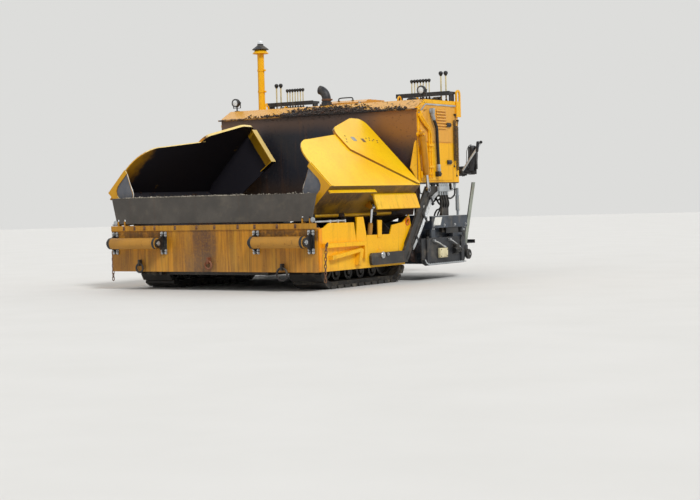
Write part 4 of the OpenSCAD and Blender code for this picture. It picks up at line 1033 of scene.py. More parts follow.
for side_name, s in SIDES:
    body, node = f"seat_{side_name}", f"seat_{side_name[0]}"
    place = seat_frame(s)
    made = [on_seat(f"seat_cushion_{side_name}", cushion_mesh, "vinyl", s, body),
            on_seat(f"seat_back_{side_name}", back_mesh, "vinyl", s, body)]
    # Piping along the cushion's upper and lower seam and round the back's face
    piping = bmesh.new()
    for z, grow in ((0.064, 0.0), (0.018, -0.004)):
        ring = [(-0.184, -0.17), (-0.15, -0.204), (0.15, -0.204), (0.184, -0.17), (0.178, 0.10), (0.168, 0.196),
                (-0.168, 0.196), (-0.178, 0.10)]
        ring = [place @ Vector((x + math.copysign(grow, x), y, z + (0.012 if y > -0.1 else -0.008))) for x, y in ring]
        tube(piping, flow(ring + ring[:1], 60), 0.0035, sides=8)
    arch = [(-0.178, 0.176, 0.04), (-0.181, 0.190, 0.16), (-0.168, 0.194, 0.26), (-0.120, 0.215, 0.316)]
    arch += [(0.0, 0.232, 0.322)] + [(-x, y, z) for x, y, z in reversed(arch)]
    tube(piping, [place @ p for p in flow(arch, 60)], 0.0035, sides=8)
    made.append(settle(f"seat_piping_{side_name}", piping, "vinyl", body, crease=80))
    shell = bmesh.new()
    block(shell, (-0.172, 0.262, 0.040), (0.172, 0.272, 0.290), 0.004, place)
    for x in (-0.10, 0.0, 0.10):
        block(shell, (x - 0.012, 0.268, 0.050), (x + 0.012, 0.290, 0.270), 0.005, place)
    block(shell, (-0.150, 0.205, -0.004), (-0.120, 0.275, 0.060), 0.004, place)
    block(shell, (0.120, 0.205, -0.004), (0.150, 0.275, 0.060), 0.004, place)
    block(shell, (-0.176, -0.186, 0.000), (0.176, 0.215, 0.012), 0.005, place)
    for x in (-0.11, 0.11):
        block(shell, (x - 0.016, -0.150, -0.016), (x + 0.016, 0.170, 0.002), 0.003, place)
        for y in (-0.12, 0.14):
            bolt(shell, place @ Vector((x, y, -0.016)), (0, 0, -1), 0.012, 0.007)
    made.append(settle(f"seat_shell_{side_name}", shell, "plastic", body))
    # Column with its pleated boot, the swing arm, the hinge hub and its pin
    column = bmesh.new()
    pleats = [(0.046 if i % 2 else 0.036, -0.052 + 0.0045 * i) for i in range(9)]
    pleats = [(0.0, -0.052)] + pleats + [(0.0, -0.015)]
    turned(column, pleats, place @ Vector((0, 0, 0)), place @ UP, sides=28)
    made.append(settle(f"seat_boot_{side_name}", column, "cord", body, crease=60))
    arm = bmesh.new()
    pivot, foot = on_side(s, (HINGE_X, HINGE_Y, 1.050), (SEAT_X, SEAT_Y, 1.050))
    way = (foot - pivot).normalized()
    lie = axes(pivot, way, UP.cross(way), UP)
    block(arm, (0.0, -0.021, -0.019), ((foot - pivot).length + 0.04, 0.021, 0.019), 0.004, lie)
    block(arm, (0.03, -0.013, -0.022), (0.16, 0.013, -0.012), 0.003, lie)
    hub = [(0.0158, -0.021), (0.028, -0.021), (0.030, -0.018), (0.030, 0.018), (0.028, 0.021), (0.0158, 0.021)]
    turned(arm, hub + hub[:1], *on_side(s, (HINGE_X, HINGE_Y, 1.0505), (HINGE_X, HINGE_Y, 2)), sides=28)
    pin = [(0.0, -0.036), (0.0148, -0.036), (0.0148, 0.034), (0.019, 0.035), (0.019, 0.040), (0.0, 0.042)]
    turned(arm, pin, *on_side(s, (HINGE_X, HINGE_Y, 1.050), (HINGE_X, HINGE_Y, 2)), sides=24)
    bar(arm, *on_side(s, (SEAT_X, SEAT_Y, 1.026), (SEAT_X, SEAT_Y, 1.040)), 0.055, round_off=0.003, sides=28)
    made.append(settle(f"seat_arm_{side_name}", arm, "dark", body))
    # Raised armrest: pivot, bright tube, and the black pad that hangs from its end
    root, lean = Vector((0.214, 0.112, 0.030)), math.radians(34)
    tip = root + Vector((0, math.sin(lean), math.cos(lean))) * 0.375
    rest = bmesh.new()
    bent = (root, Vector((0.214, 0.20, 0.160)), tip - Vector((0, 0.012, 0.02)), tip)
    tube(rest, flow([place @ p for p in bent], 30), 0.012, sides=14)
    made.append(settle(f"armrest_tube_{side_name}", rest, "bright", body, crease=70))
    joint = bmesh.new()
    bar(joint, place @ Vector((0.186, 0.112, 0.030)), place @ Vector((0.222, 0.112, 0.030)), 0.020, round_off=0.003)
    bar(joint, place @ (tip - Vector((0.016, 0, 0))), place @ (tip + Vector((0.016, 0, 0))), 0.017, round_off=0.003)
    block(joint, (0.170, 0.090, 0.000), (0.190, 0.134, 0.050), 0.004, place)
    bolt(joint, place @ Vector((0.222, 0.112, 0.030)), place.to_3x3() @ Vector((1, 0, 0)), 0.014, 0.008)
    made.append(settle(f"armrest_joint_{side_name}", joint, "plastic", body))
    pad = soft_box((0.194, 0.262, 0.235), (0.232, 0.292, 0.352), cuts=5)
    for vert in pad.verts:
        vert.co.y += 0.10 * (vert.co.z - 0.235)
    relax(pad, 0.6)
    bmesh.ops.transform(pad, matrix=place, verts=pad.verts)
    rest_pad = settle(f"armrest_pad_{side_name}", pad, "vinyl", body, crease=180)
    finer = rest_pad.modifiers.new("finer", "SUBSURF")
    finer.levels = finer.render_levels = 2
    made.append(rest_pad)
    for piece in made:
        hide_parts(node)
    print(side_name, "seat:", len(made), "pieces")

# %% [markdown]
# ## Levers and consoles
# Each console is a row of thin levers under a dark rail. The stems are cream, the knobs black, and a pleated
# boot closes each slot. They are lathe pieces made once and set side by side.

# %% Levers
KNOB = ((0, -1.25), (0.55, -1.2), (0.62, -0.9), (0.98, -0.4), (1.08, 0.1), (0.98, 0.6), (0.62, 1.0), (0, 1.14))
BOOT = [(0.0, 0.0), (0.019, 0.0), (0.019, 0.005), (0.0145, 0.008), (0.016, 0.013), (0.0115, 0.017),
        (0.013, 0.022), (0.0085, 0.028), (0.0, 0.028)]
LEVERS, PITCH = 7, 0.036


def lever(stems, knobs, boots, x, y, foot_z, top_z, radius, knob):
    """A lever of the given stem radius, with a round knob whose size is knob, and a pleated boot."""
    stem = at(x, y, foot_z)
    high, tall = stem + UP, top_z - foot_z
    neck = tall - knob * 0.6
    turned(stems, [(0.0, 0.0), (radius, 0.0), (radius, neck), (0.0, neck)], stem, high, sides=12)
    turned(knobs, [(knob * out, tall + knob * rise) for out, rise in KNOB], stem, high, sides=20)
    turned(boots, BOOT, stem, high, sides=16)


for side_name, s, first, tall in (("left", 1, 0.740, (1.090, 1.150)), ("right", -1, 0.690, (1.010, 1.070))):
    stems, knobs, boots = bmesh.new(), bmesh.new(), bmesh.new()
    for index in range(LEVERS):
        lever(stems, knobs, boots, s * (first + PITCH * index), 2.620, 1.889, 2.095, 0.0066, 0.0172)
    for x in tall:
        lever(stems, knobs, boots, s * x, 2.640, 1.855, 2.160, 0.0086, 0.0222)
    settle(f"lever_stems_{side_name}", stems, "cream")
    settle(f"lever_knobs_{side_name}", knobs, "plastic", crease=60)
    settle(f"lever_boots_{side_name}", boots, "cord", crease=60)
    panel = bmesh.new()
    last = first + (LEVERS - 1) * PITCH
    x0, x1 = first - 0.020, last + 0.020
    low, high = at(min(s * x0, s * x1), 2.592, 1.8895), at(max(s * x0, s * x1), 2.648, 1.8925)
    block(panel, low, high, 0.001)
    for x in (x0 + 0.008, x1 - 0.008):
        for y in (2.600, 2.640):
            bolt(panel, at(s * x, y, 1.8925), (0, 0, 1), 0.006, 0.003)
    settle(f"lever_gate_{side_name}", panel, "grey")
    # Row of switches and round gauges on a tilted box beside the gate
    dash = bmesh.new()
    tilt = Matrix.Translation(at(s * (last + 0.075), 2.620, 1.880)) @ Matrix.Rotation(math.radians(22), 4, "X")
    block(dash, (-0.045, -0.050, -0.028), (0.045, 0.055, 0.020), 0.005, tilt)
    settle(f"switch_box_{side_name}", dash, "plastic")
    dials, bezels = bmesh.new(), bmesh.new()
    bezel = [(0.0135, 0.0), (0.0135, 0.004), (0.0165, 0.0045), (0.018, 0.0), (0.0135, 0.0)]
    for dx in (-0.020, 0.022):
        centre, out = tilt @ Vector((dx, 0.020, 0.020)), tilt.to_3x3() @ UP
        turned(dials, [(0.0, 0.002), (0.013, 0.002), (0.014, 0.0), (0.0, 0.0)], centre, centre + out, sides=24)
        turned(bezels, bezel, centre, centre + out, sides=24)
    for index in range(4):
        spot = tilt @ Vector((-0.030 + index * 0.020, -0.022, 0.020))
        bar(bezels, spot, spot + tilt.to_3x3() @ Vector((0, 0, 0.006)), 0.0055, sides=12)
        bar(bezels, spot, spot + tilt.to_3x3() @ Vector((0, 0.008, 0.020)), 0.0024, 0.0032, sides=8)
    settle(f"gauge_faces_{side_name}", dials, "white")
    settle(f"gauge_rims_{side_name}", bezels, "bright")
print("consoles done")

# %% [markdown]
# ## Vent stack
# The tall vent keeps its CAD tube. It gains a dark conical rain cap under a bright beacon, a bolted flange, and
# the clamp that holds a cable run.

# %% Cap, beacon and flange bolts
foot = at(-1.106, 2.400, 1.855)
up_line = foot + UP
cap_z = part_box("vent_stack")[1].z - foot.z
cap = bmesh.new()
cone = ((0.0, -0.066), (0.056, -0.070), (0.092, -0.062), (0.094, -0.056), (0.060, -0.030), (0.034, -0.010),
        (0.034, 0.004), (0.0, 0.004))
turned(cap, [(radius, cap_z + high) for radius, high in cone], foot, up_line, sides=40)
settle("vent_cap", cap, "dark")
light = bmesh.new()
dome = ((0.0, 0.003), (0.030, 0.003), (0.030, 0.022), (0.024, 0.034), (0.012, 0.040), (0.0, 0.041))
turned(light, [(radius, cap_z + high) for radius, high in dome], foot, up_line, sides=28)
settle("vent_beacon", light, "glass")
flange = bmesh.new()
for index in range(6):
    angle = index * math.tau / 6 + 0.3
    bolt(flange, foot + Vector((0.062 * math.cos(angle), 0.062 * math.sin(angle), 0.012)), (0, 0, 1), 0.014, 0.009)
for z in (0.22, 0.46):
    ring = [(0.0365, z), (0.042, z), (0.042, z + 0.022), (0.0365, z + 0.022), (0.0365, z)]
    turned(flange, ring, foot, up_line, sides=28)
    block(flange, foot + Vector((0.036, -0.010, z + 0.001)), foot + Vector((0.062, 0.010, z + 0.021)), 0.002)
    bolt(flange, foot + Vector((0.052, -0.010, z + 0.011)), (0, -1, 0), 0.009, 0.006)
settle("vent_clamps", flange, "yellow")
print("vent top at", round(cap_z + foot.z, 3), "m")

# %% [markdown]
# ## Push rollers and the bumper
# The rollers that push a lorry turn between black brackets, each bolted to the bumper by a small flange. The
# CAD brackets are part of the yellow bumper, so a thin black skin is laid over them, with the shining bolts.

# %% Roller brackets, collars and bolts
ROLLER_Y, ROLLER_Z = -0.100, 0.465
BRACKETS = (0.558, 1.190)
CORNER = 0.0412  # the radius of a bracket's rounded end
for side_name, s in SIDES:
    skins = bmesh.new()
    outline = [(-0.0006, -0.0962), (-0.0930, -0.0414)]
    angles = [math.radians(index * 15) for index in range(13)]
    outline += [(ROLLER_Y - CORNER * math.sin(angle), -CORNER * math.cos(angle)) for angle in angles]
    outline += [(-0.0930, 0.0414), (-0.0006, 0.0962)]
    for x in BRACKETS:
        sheet_metal(skins, outline, 0.0136, outward(s, x - 0.0008, 0, ROLLER_Z))
        side_block(skins, s, x + 0.006, 0.034, (-0.011, -0.0005), (0.355, 0.575), 0.003)
    settle(f"roller_brackets_{side_name}", skins, "plastic")
    bolts = bmesh.new()
    for x in BRACKETS:
        for z in (0.368, 0.392, 0.538, 0.562):
            for way in (-1, 1):
                bolt(bolts, at(s * (x + 0.006) + way * 0.024, -0.011, z), (0, -1, 0), 0.019, 0.012)
    for x, way in ((0.5565, -1), (1.2035, 1)):
        bolt(bolts, at(s * x, ROLLER_Y, ROLLER_Z), (s * way, 0, 0), 0.030, 0.010)
        turned(bolts, [(0.0, 0.0), (0.006, 0.0), (0.006, 0.006), (0.003, 0.010), (0.0, 0.010)],
               *on_side(s, (x, -0.126, ROLLER_Z), (x + way, -0.126, ROLLER_Z)), sides=10)
    settle(f"roller_bolts_{side_name}", bolts, "bright")
    collars = bmesh.new()
    for x0, x1 in ((0.5752, 0.604), (1.156, 1.1848)):
        wide = x1 - x0
        collar = [(0.020, 0.0), (0.0562, 0.0), (0.0572, 0.004), (0.0572, wide - 0.004), (0.0562, wide), (0.020, wide)]
        turned(collars, collar + collar[:1], *on_side(s, (x0, ROLLER_Y, ROLLER_Z), (x1, ROLLER_Y, ROLLER_Z)), sides=36)
    settle(f"roller_collars_{side_name}", collars, "plastic", f"push_roller_{side_name}")

# The apron's hinge above the bumper: bolt heads on its strip, and a grey boss at each end of the apron
strip = bmesh.new()
for x in (-1.08, -0.94, -0.81, -0.68, -0.42, -0.15, 0.07, 0.35, 0.55, 0.81, 1.02):
    block(strip, at(x - 0.013, -0.0105, 0.592), at(x + 0.013, -0.0076, 0.632), 0.001)
    bolt(strip, at(x, -0.0105, 0.612), (0, -1, 0), 0.013, 0.006)
settle("hinge_strip_bolts", strip, "rusty")
bosses = bmesh.new()
for s in (1, -1):
    boss = [(0.0, 0.0), (0.024, 0.0), (0.024, 0.007), (0.021, 0.0095), (0.012, 0.010), (0.011, 0.013), (0.0, 0.013)]
    turned(bosses, boss, *on_side(s, (1.205, 0.0145, 0.668), (1.205, -1, 0.668)), sides=26)
settle("apron_pivot_bosses", bosses, "grey", "apron")
edge = bmesh.new()
weld = random.Random(4)
beads = [at(-1.245 + 2.49 * i / 40, -0.002 - weld.random() * 0.001, 0.583 + weld.random() * 0.0016) for i in range(41)]
tube(edge, flow(beads, 160), 0.0042, sides=6)
settle("bumper_weld", edge, "bumper", crease=80)
print("bumper dressed")

# %% [markdown]
# ## Lashing chain
# A rusty chain hangs from a hook beside the front of each side panel. Each link is a bent round bar, and every
# second one is turned by a quarter. Near it are a bright rod along each side panel and the head of each tow pin.

# %% Chain
LINK_LENGTH, LINK_WIDTH, LINK_WIRE = 0.044, 0.024, 0.0045  # the wire by its radius


def chain_link(bm, centre, hang, turn):
    """One oval link; hang is the chain's direction there and turn the link's twist about it."""
    hang = Vector(hang).normalized()
    across = hang.orthogonal().normalized()
    across = Matrix.Rotation(turn, 3, hang) @ across
    ends, r = (LINK_LENGTH - LINK_WIDTH) / 2, (LINK_WIDTH - LINK_WIRE) / 2
    ring = []
    for index in range(24):
        angle = math.tau * index / 24
        shift = ends if math.sin(angle) > 0.01 else -ends if math.sin(angle) < -0.01 else 0.0
        ring.append(centre + across * r * math.cos(angle) + hang * (r * math.sin(angle) + shift))
    tube(bm, ring + ring[:2], LINK_WIRE)


ROD_X = 1.238
for side_name, s in SIDES:
    chain = bmesh.new()
    route = flow(on_side(s, (1.300, 0.094, 0.440), (1.306, 0.072, 0.405), (1.302, 0.062, 0.30), (1.300, 0.058, 0.18),
                         (1.299, 0.056, 0.090)), 12)
    for index, (here, there) in enumerate(zip(route, route[1:])):
        chain_link(chain, (here + there) / 2, there - here, math.radians(35 + 90 * (index % 2)))
    settle(f"lashing_chain_{side_name}", chain, "rusty", crease=70)
    hook = bmesh.new()
    bend = on_side(s, (1.292, 0.120, 0.447), (1.300, 0.104, 0.452), (1.303, 0.090, 0.443), (1.301, 0.090, 0.424),
                   (1.295, 0.098, 0.415))
    tube(hook, flow(bend, 20), 0.006, sides=10)
    settle(f"chain_hook_{side_name}", hook, "dark", crease=70)
    rod = bmesh.new()
    bar(rod, *on_side(s, (ROD_X, 0.006, 0.649), (ROD_X, 0.500, 0.649)), 0.009, round_off=0.002, sides=18)
    for y in (0.23, 0.36, 0.482):
        side_block(rod, s, ROD_X, 0.011, (y, y + 0.018), (0.631, 0.661), 0.002)
    settle(f"side_hinge_rod_{side_name}", rod, "bright")
    pin = bmesh.new()
    turned(pin, [(0.0, -0.004), (0.030, -0.004), (0.033, 0.0), (0.033, 0.008), (0.029, 0.012), (0.0, 0.012)],
           *on_side(s, (1.2872, 1.077, 0.297), (2, 1.077, 0.297)), sides=30)
    bolt(pin, at(s * 1.299, 1.077, 0.297), (s, 0, 0), 0.022, 0.012)
    turned(pin, [(0.0, 0.0), (0.016, 0.0), (0.016, 0.006), (0.0, 0.006)],
           *on_side(s, (1.2932, 1.160, 0.303), (2, 1.160, 0.303)), sides=24)
    bolt(pin, at(s * 1.2985, 1.160, 0.303), (s, 0, 0), 0.020, 0.010)
    settle(f"tow_pin_head_{side_name}", pin, "bright", "screed")
print("chains, rods and pins done")

# %% [markdown]
# ## Hopper wings
# The slate-grey sheet in each wing's front gusset has a white free edge. The raised corner carries two blank
# patches, a row of worn rivets, and a weld along its crease. A wing stands at 45 degrees at rest, so its details
# are placed in its own frame.

# %% Wing details
PANEL_FACE = 0.4081  # the outer face of the raised corner, along the bottom plate
RIVETS = ((1.071, 0.685), (1.04, 0.64), (1.009, 0.596), (1.43, 0.66), (1.46, 0.63), (1.492, 0.668),
          (1.517, 0.624), (1.55, 0.65), (1.575, 0.60), (1.60, 0.63))  # rearward, and up the outer panel


def on_wing(s, along, y, tall):
    """A place in a wing's own frame: along its bottom plate, and tall from it, at rest."""
    return at(s * (WING_X + (along - tall) / math.sqrt(2)), y, WING_Z + (along + tall) / math.sqrt(2))


def wing_axes(s, along, y, tall):
    """The frame of the outer panel: u rearward, v up the panel, w outward."""
    origin = on_wing(s, along, y, tall)
    return axes(origin, (0, 1, 0), on_wing(s, along, y, tall + 1) - origin, on_wing(s, along + 1, y, tall) - origin)


def gusset_axes(s, y, facing):
    """The frame of an upright sheet across the wing: u along the bottom plate, v up the outer panel."""
    corner = on_wing(s, 0, 0, 0)
    return axes(on_wing(s, 0, y, 0), on_wing(s, 1, 0, 0) - corner, on_wing(s, 0, 0, 1) - corner, (0, facing, 0))


for side_name, s in SIDES:
    body = f"wing_{side_name}"
    gusset = bmesh.new()
    corners = [(0.052, 0.007), (0.388, 0.007), (0.388, 0.322), (0.358, 0.299), (0.148, 0.200)]
    sheet_metal(gusset, corners, 0.0035, gusset_axes(s, 0.0995, -1))
    settle(f"gusset_sheet_{side_name}", gusset, "slate", body)
    lip = bmesh.new()
    rim = ((0.047, 0.004), (0.098, 0.103), (0.147, 0.203), (0.25, 0.250), (0.358, 0.302))
    tube(lip, flow([on_wing(s, along, 0.106, tall) for along, tall in rim], 40), 0.0045)
    settle(f"gusset_edge_{side_name}", lip, "white", body, crease=80)
    # Dried asphalt covers the gusset's inner face
    inner = bmesh.new()
    corners = [(0.070, 0.0075), (0.375, 0.0075), (0.375, 0.290), (0.160, 0.190)]
    sheet_metal(inner, corners, 0.004, gusset_axes(s, 0.1125, 1))
    settle(f"gusset_back_{side_name}", inner, "tar", body)
    # Blank patches and rivets on the raised corner
    patches = {"grey": (1.185, 0.645, 0.034, 0.030), "rusty": (1.342, 0.628, 0.026, 0.026)}
    for shade, (y, t, wide, high) in patches.items():
        patch = bmesh.new()
        block(patch, (-wide, -high, 0.0), (wide, high, 0.0016), 0.0007, wing_axes(s, PANEL_FACE, y, t))
        settle(f"wing_patch_{shade}_{side_name}", patch, shade, body)
    rivets = bmesh.new()
    worn = random.Random(11)
    for y, t in RIVETS:
        seat = wing_axes(s, PANEL_FACE, y + worn.uniform(-0.006, 0.006), t + worn.uniform(-0.006, 0.006))
        turned(rivets, [(0.0, 0.0), (0.009, 0.0), (0.008, 0.002), (0.0, 0.0032)], seat.translation, seat @ UP, sides=12)
    settle(f"wing_rivets_{side_name}", rivets, "rusty", body)
    bead = bmesh.new()
    crease = ((0.961, 0.489), (1.194, 0.327), (1.427, 0.165), (1.655, 0.007))
    tube(bead, flow([on_wing(s, 0.3935, y, t) for y, t in crease], 60), 0.0032, sides=6)
    settle(f"wing_crease_weld_{side_name}", bead, "rusty", body, crease=80)
print("wings dressed")

# %% [markdown]
# ## The screed's ends
# The busiest part of the photograph is the end of the screed: dark blue-grey steel with bright tubes, levers,
# a cream box and blank labels. Each of them sits on the body that carries it, so the ends still telescope.

# %% Extension ends
for side_name, s in SIDES:
    beam, gate = f"extension_{side_name}", f"end_gate_{side_name}"
    trim = bmesh.new()
    side_block(trim, s, 1.3055, 0.0155, (1.987, 2.728), (0.6495, 0.6535), 0.0015)
    settle(f"beam_top_strip_{side_name}", trim, "grey", beam)
    label = bmesh.new()
    card = [(-0.100, -0.040), (0.050, -0.040), (0.088, 0.042), (-0.055, 0.042)]
    sheet_metal(label, card, 0.0016, outward(s, 1.3188, 2.110, 0.598))
    settle(f"beam_label_{side_name}", label, "white", beam)
    frame_bolts = bmesh.new()
    for y, z in ((2.010, 0.5215), (2.038, 0.5215), (2.654, 0.500), (2.680, 0.500)):
        bolt(frame_bolts, at(s * 1.3110, y, z), (s, 0, 0), 0.011, 0.0075)
    for y in (2.02, 2.24, 2.46, 2.69):
        bolt(frame_bolts, at(s * 1.3190, y, 0.557), (s, 0, 0), 0.019, 0.011)
    settle(f"beam_bolts_{side_name}", frame_bolts, "bright", beam)
    bands = bmesh.new()
    side_block(bands, s, 1.314, 0.0035, (2.640, 2.692), (0.400, 0.486), 0.002)
    side_block(bands, s, 1.303, 0.003, (2.300, 2.560), (0.4695, 0.5305), 0.001)
    settle(f"beam_panel_{side_name}", bands, "plastic", beam)

    # Cream box on the end gate, with its lid and screws
    cream = bmesh.new()
    low, high = at(s * 1.3385 - 0.0150, 2.085, 0.222), at(s * 1.3385 + 0.0150, 2.245, 0.322)
    block(cream, low, high, 0.006, segments=3)
    lid = at(s * 1.3545, 2.165, 0.272)
    block(cream, lid - Vector((0.0025, 0.074, 0.044)), lid + Vector((0.0025, 0.074, 0.044)), 0.002)
    settle(f"end_box_{side_name}", cream, "cream", gate)
    screws = bmesh.new()
    for y in (2.103, 2.227):
        for z in (0.238, 0.306):
            bolt(screws, at(s * 1.357, y, z), (s, 0, 0), 0.008, 0.004)
    head = [(0.0, 0.0), (0.013, 0.0), (0.013, 0.012), (0.017, 0.014), (0.017, 0.026), (0.0, 0.028)]
    for y in (1.872, 2.582):
        turned(screws, head, *on_side(s, (1.330, y, 0.4195), (1.330, y, 1)), sides=18)
    settle(f"end_box_screws_{side_name}", screws, "dark", gate)
    # Bright levers of the gate's height screws
    levers = bmesh.new()
    for ends in (((1.345, 1.990, 0.402), (1.352, 2.170, 0.338)), ((1.345, 2.315, 0.405), (1.352, 2.480, 0.330))):
        start, end = on_side(s, *ends)
        way = (end - start).normalized()
        tube(levers, flow([start, start.lerp(end, 0.5) + Vector((0, 0, 0.006)), end], 14), 0.0065, sides=10)
        bar(levers, end - way * 0.006, end + way * 0.030, 0.0105, round_off=0.003, sides=14)
        out = Vector((s, 0, 0))
        bar(levers, start - out * 0.022, start + out * 0.010, 0.014, round_off=0.003, sides=16)
    settle(f"gate_levers_{side_name}", levers, "bright", gate)
    # Black motor with its finned body and conduit box
    motor = bmesh.new()
    heart = at(s * 1.347, 2.392, 0.292)
    shape = [(0.0, 0.0), (0.024, 0.0), (0.027, 0.004)]
    for fin in range(8):
        shape += [(r, z + fin * 0.013) for r, z in ((0.027, 0.010), (0.031, 0.012), (0.031, 0.016), (0.027, 0.018))]
    shape += [(0.027, 0.118), (0.022, 0.124), (0.022, 0.140), (0.010, 0.142), (0.010, 0.160), (0.0, 0.160)]
    turned(motor, shape, heart, heart + Vector((0, 1, 0)), sides=28)
    block(motor, heart + Vector((-0.024, 0.020, 0.024)), heart + Vector((0.016, 0.090, 0.058)), 0.004)
    side_block(motor, s, 1.3235, 0.006, (2.400, 2.520), (0.246, 0.262), 0.002)
    settle(f"gate_motor_{side_name}", motor, "plastic", gate)
    strip = bmesh.new()
    edge = [(1.851, 0.1705), (1.812, 0.1885), (1.786, 0.2195), (1.771, 0.2145), (1.801, 0.1785), (1.847, 0.1585),
            (2.631, 0.1585), (2.631, 0.1705)]
    sheet_metal(strip, edge, 0.0012, outward(s, 1.3532, 0, 0))
    for index in range(16):
        bolt(strip, at(s * 1.338, 1.88 + index * 0.045, 0.1705), (0, 0, 1), 0.010, 0.005)
    settle(f"ski_strip_{side_name}", strip, "grey", gate)
print("screed ends done")

# %% [markdown]
# ## Tow arms
# On the outside of each tow arm lie bright hydraulic tubes in clamps, a pale valve block with its hose ends,
# and a blank label. Short hoses run from the valve block down to a manifold on the screed, and more of them
# loop under the hood's floor, beside two bright pipes.

# %% Tubes, valves and hoses of a tow arm
ARM_HOSES = ((2.190, 2.235), (2.235, 2.300), (2.285, 2.352), (2.335, 2.395))  # y at the top and at the foot
DECK_LOOPS = ((1.175, 2.180, 2.370, 0.800), (1.205, 2.245, 2.480, 0.770), (1.145, 2.300, 2.530, 0.815),
              (1.228, 2.430, 2.640, 0.830))  # x, both ends' y, and the lowest z
TUBE_X, VALVE_X = 1.297, 1.3045
for side_name, s in SIDES:
    tubes = bmesh.new()
    for drop in (0.0, 0.024, 0.048):
        bends = ((1.640, 0.355 - drop * 0.6), (1.700, 0.415 - drop * 0.6), (1.840, 0.600 - drop), (1.960, 0.765 - drop),
                 (2.030, 0.842 - drop * 0.8), (2.130, 0.893 - drop * 0.6), (2.165, 0.905 - drop * 0.5))
        tube(tubes, flow([at(s * TUBE_X, y, z) for y, z in bends], 44), 0.0062, sides=10)
    settle(f"arm_tubes_{side_name}", tubes, "bright", "screed", crease=80)
    clamps = bmesh.new()
    for y, z in ((1.735, 0.415), (1.885, 0.636), (2.03, 0.815)):
        lean = axes(at(s * 1.290, y, z), (0, 0.80, 0.60), (0, -0.60, 0.80), (s, 0, 0))
        block(clamps, (-0.014, -0.055, -0.007), (0.014, 0.050, 0.0155), 0.003, lean)
        for v in (-0.046, 0.040):
            bolt(clamps, lean @ Vector((0, v, 0.0155)), (s, 0, 0), 0.010, 0.006)
    settle(f"arm_clamps_{side_name}", clamps, "dark", "screed")
    valves = bmesh.new()
    side_block(valves, s, VALVE_X, 0.0155, (2.160, 2.365), (0.903, 0.957), 0.004)
    for index in range(5):
        y = 2.185 + index * 0.040
        bar(valves, *on_side(s, (VALVE_X, y, 0.955), (VALVE_X, y, 0.985)), 0.0135, round_off=0.002, sides=14)
        bar(valves, *on_side(s, (VALVE_X, y, 0.984), (VALVE_X, y, 0.992)), 0.008, sides=6)
    settle(f"arm_valves_{side_name}", valves, "grey", "screed")
    card = bmesh.new()
    side_block(card, s, 1.2839, 0.0008, (1.885, 1.960), (0.690, 0.765), 0.0006)
    settle(f"arm_label_{side_name}", card, "white", "screed")
    runs = []
    for number, (y, foot) in enumerate(ARM_HOSES, 1):
        route = on_side(s, (VALVE_X, y, 0.893), (1.306, y + 0.004, 0.850), (1.300, (y + foot) / 2 + 0.01, 0.775),
                        (1.268, foot, 0.725), (1.232, foot + 0.008, 0.712), (1.205, foot + 0.010, 0.672),
                        (1.196, foot + 0.012, 0.624))
        runs.append(hose(f"arm_hose_{side_name}_{number}", route, 0.0085, "screed", count=26))
    manifold = bmesh.new()
    side_block(manifold, s, 1.190, 0.030, (2.215, 2.440), (0.6002, 0.618), 0.004)
    settle(f"screed_manifold_{side_name}", manifold, "dark", "screed")
    loops = bmesh.new()
    for number, (x, y0, y1, low) in enumerate(DECK_LOOPS, 1):
        for y in (y0, y1):
            side_block(loops, s, x, 0.014, (y - 0.014, y + 0.014), (0.974, 0.9905), 0.003)
        route = on_side(s, (x, y0, 0.962), (x, y0, 0.915), (x, y0 + 0.012, 0.865), (x, (y0 + y1) / 2, low),
                        (x, y1 - 0.012, 0.865), (x, y1, 0.915), (x, y1, 0.962))
        runs.append(hose(f"deck_loop_{side_name}_{number}", route, 0.0095, count=30))
    settle(f"deck_blocks_{side_name}", loops, "grey")
    lines = bmesh.new()
    for x, drop in ((1.236, 0.0), (1.120, 0.030)):
        bends = ((2.090, 0.992), (2.092, 0.950 - drop), (2.130, 0.915 - drop), (2.350, 0.908 - drop),
                 (2.560, 0.915 - drop), (2.600, 0.950 - drop), (2.602, 0.992))
        tube(lines, flow([at(s * x, y, z) for y, z in bends], 44), 0.007, sides=10)
    settle(f"deck_lines_{side_name}", lines, "bright", crease=80)
    print(side_name, "arm hoses and loops", runs, "m")

# %% [markdown]
# ## Steps and guide wheels
# The inclined side plates of the rear step are pale, scuffed by boots, and a small guide wheel sits beside
# each of them. The step's bars get a rough tread of raised studs.

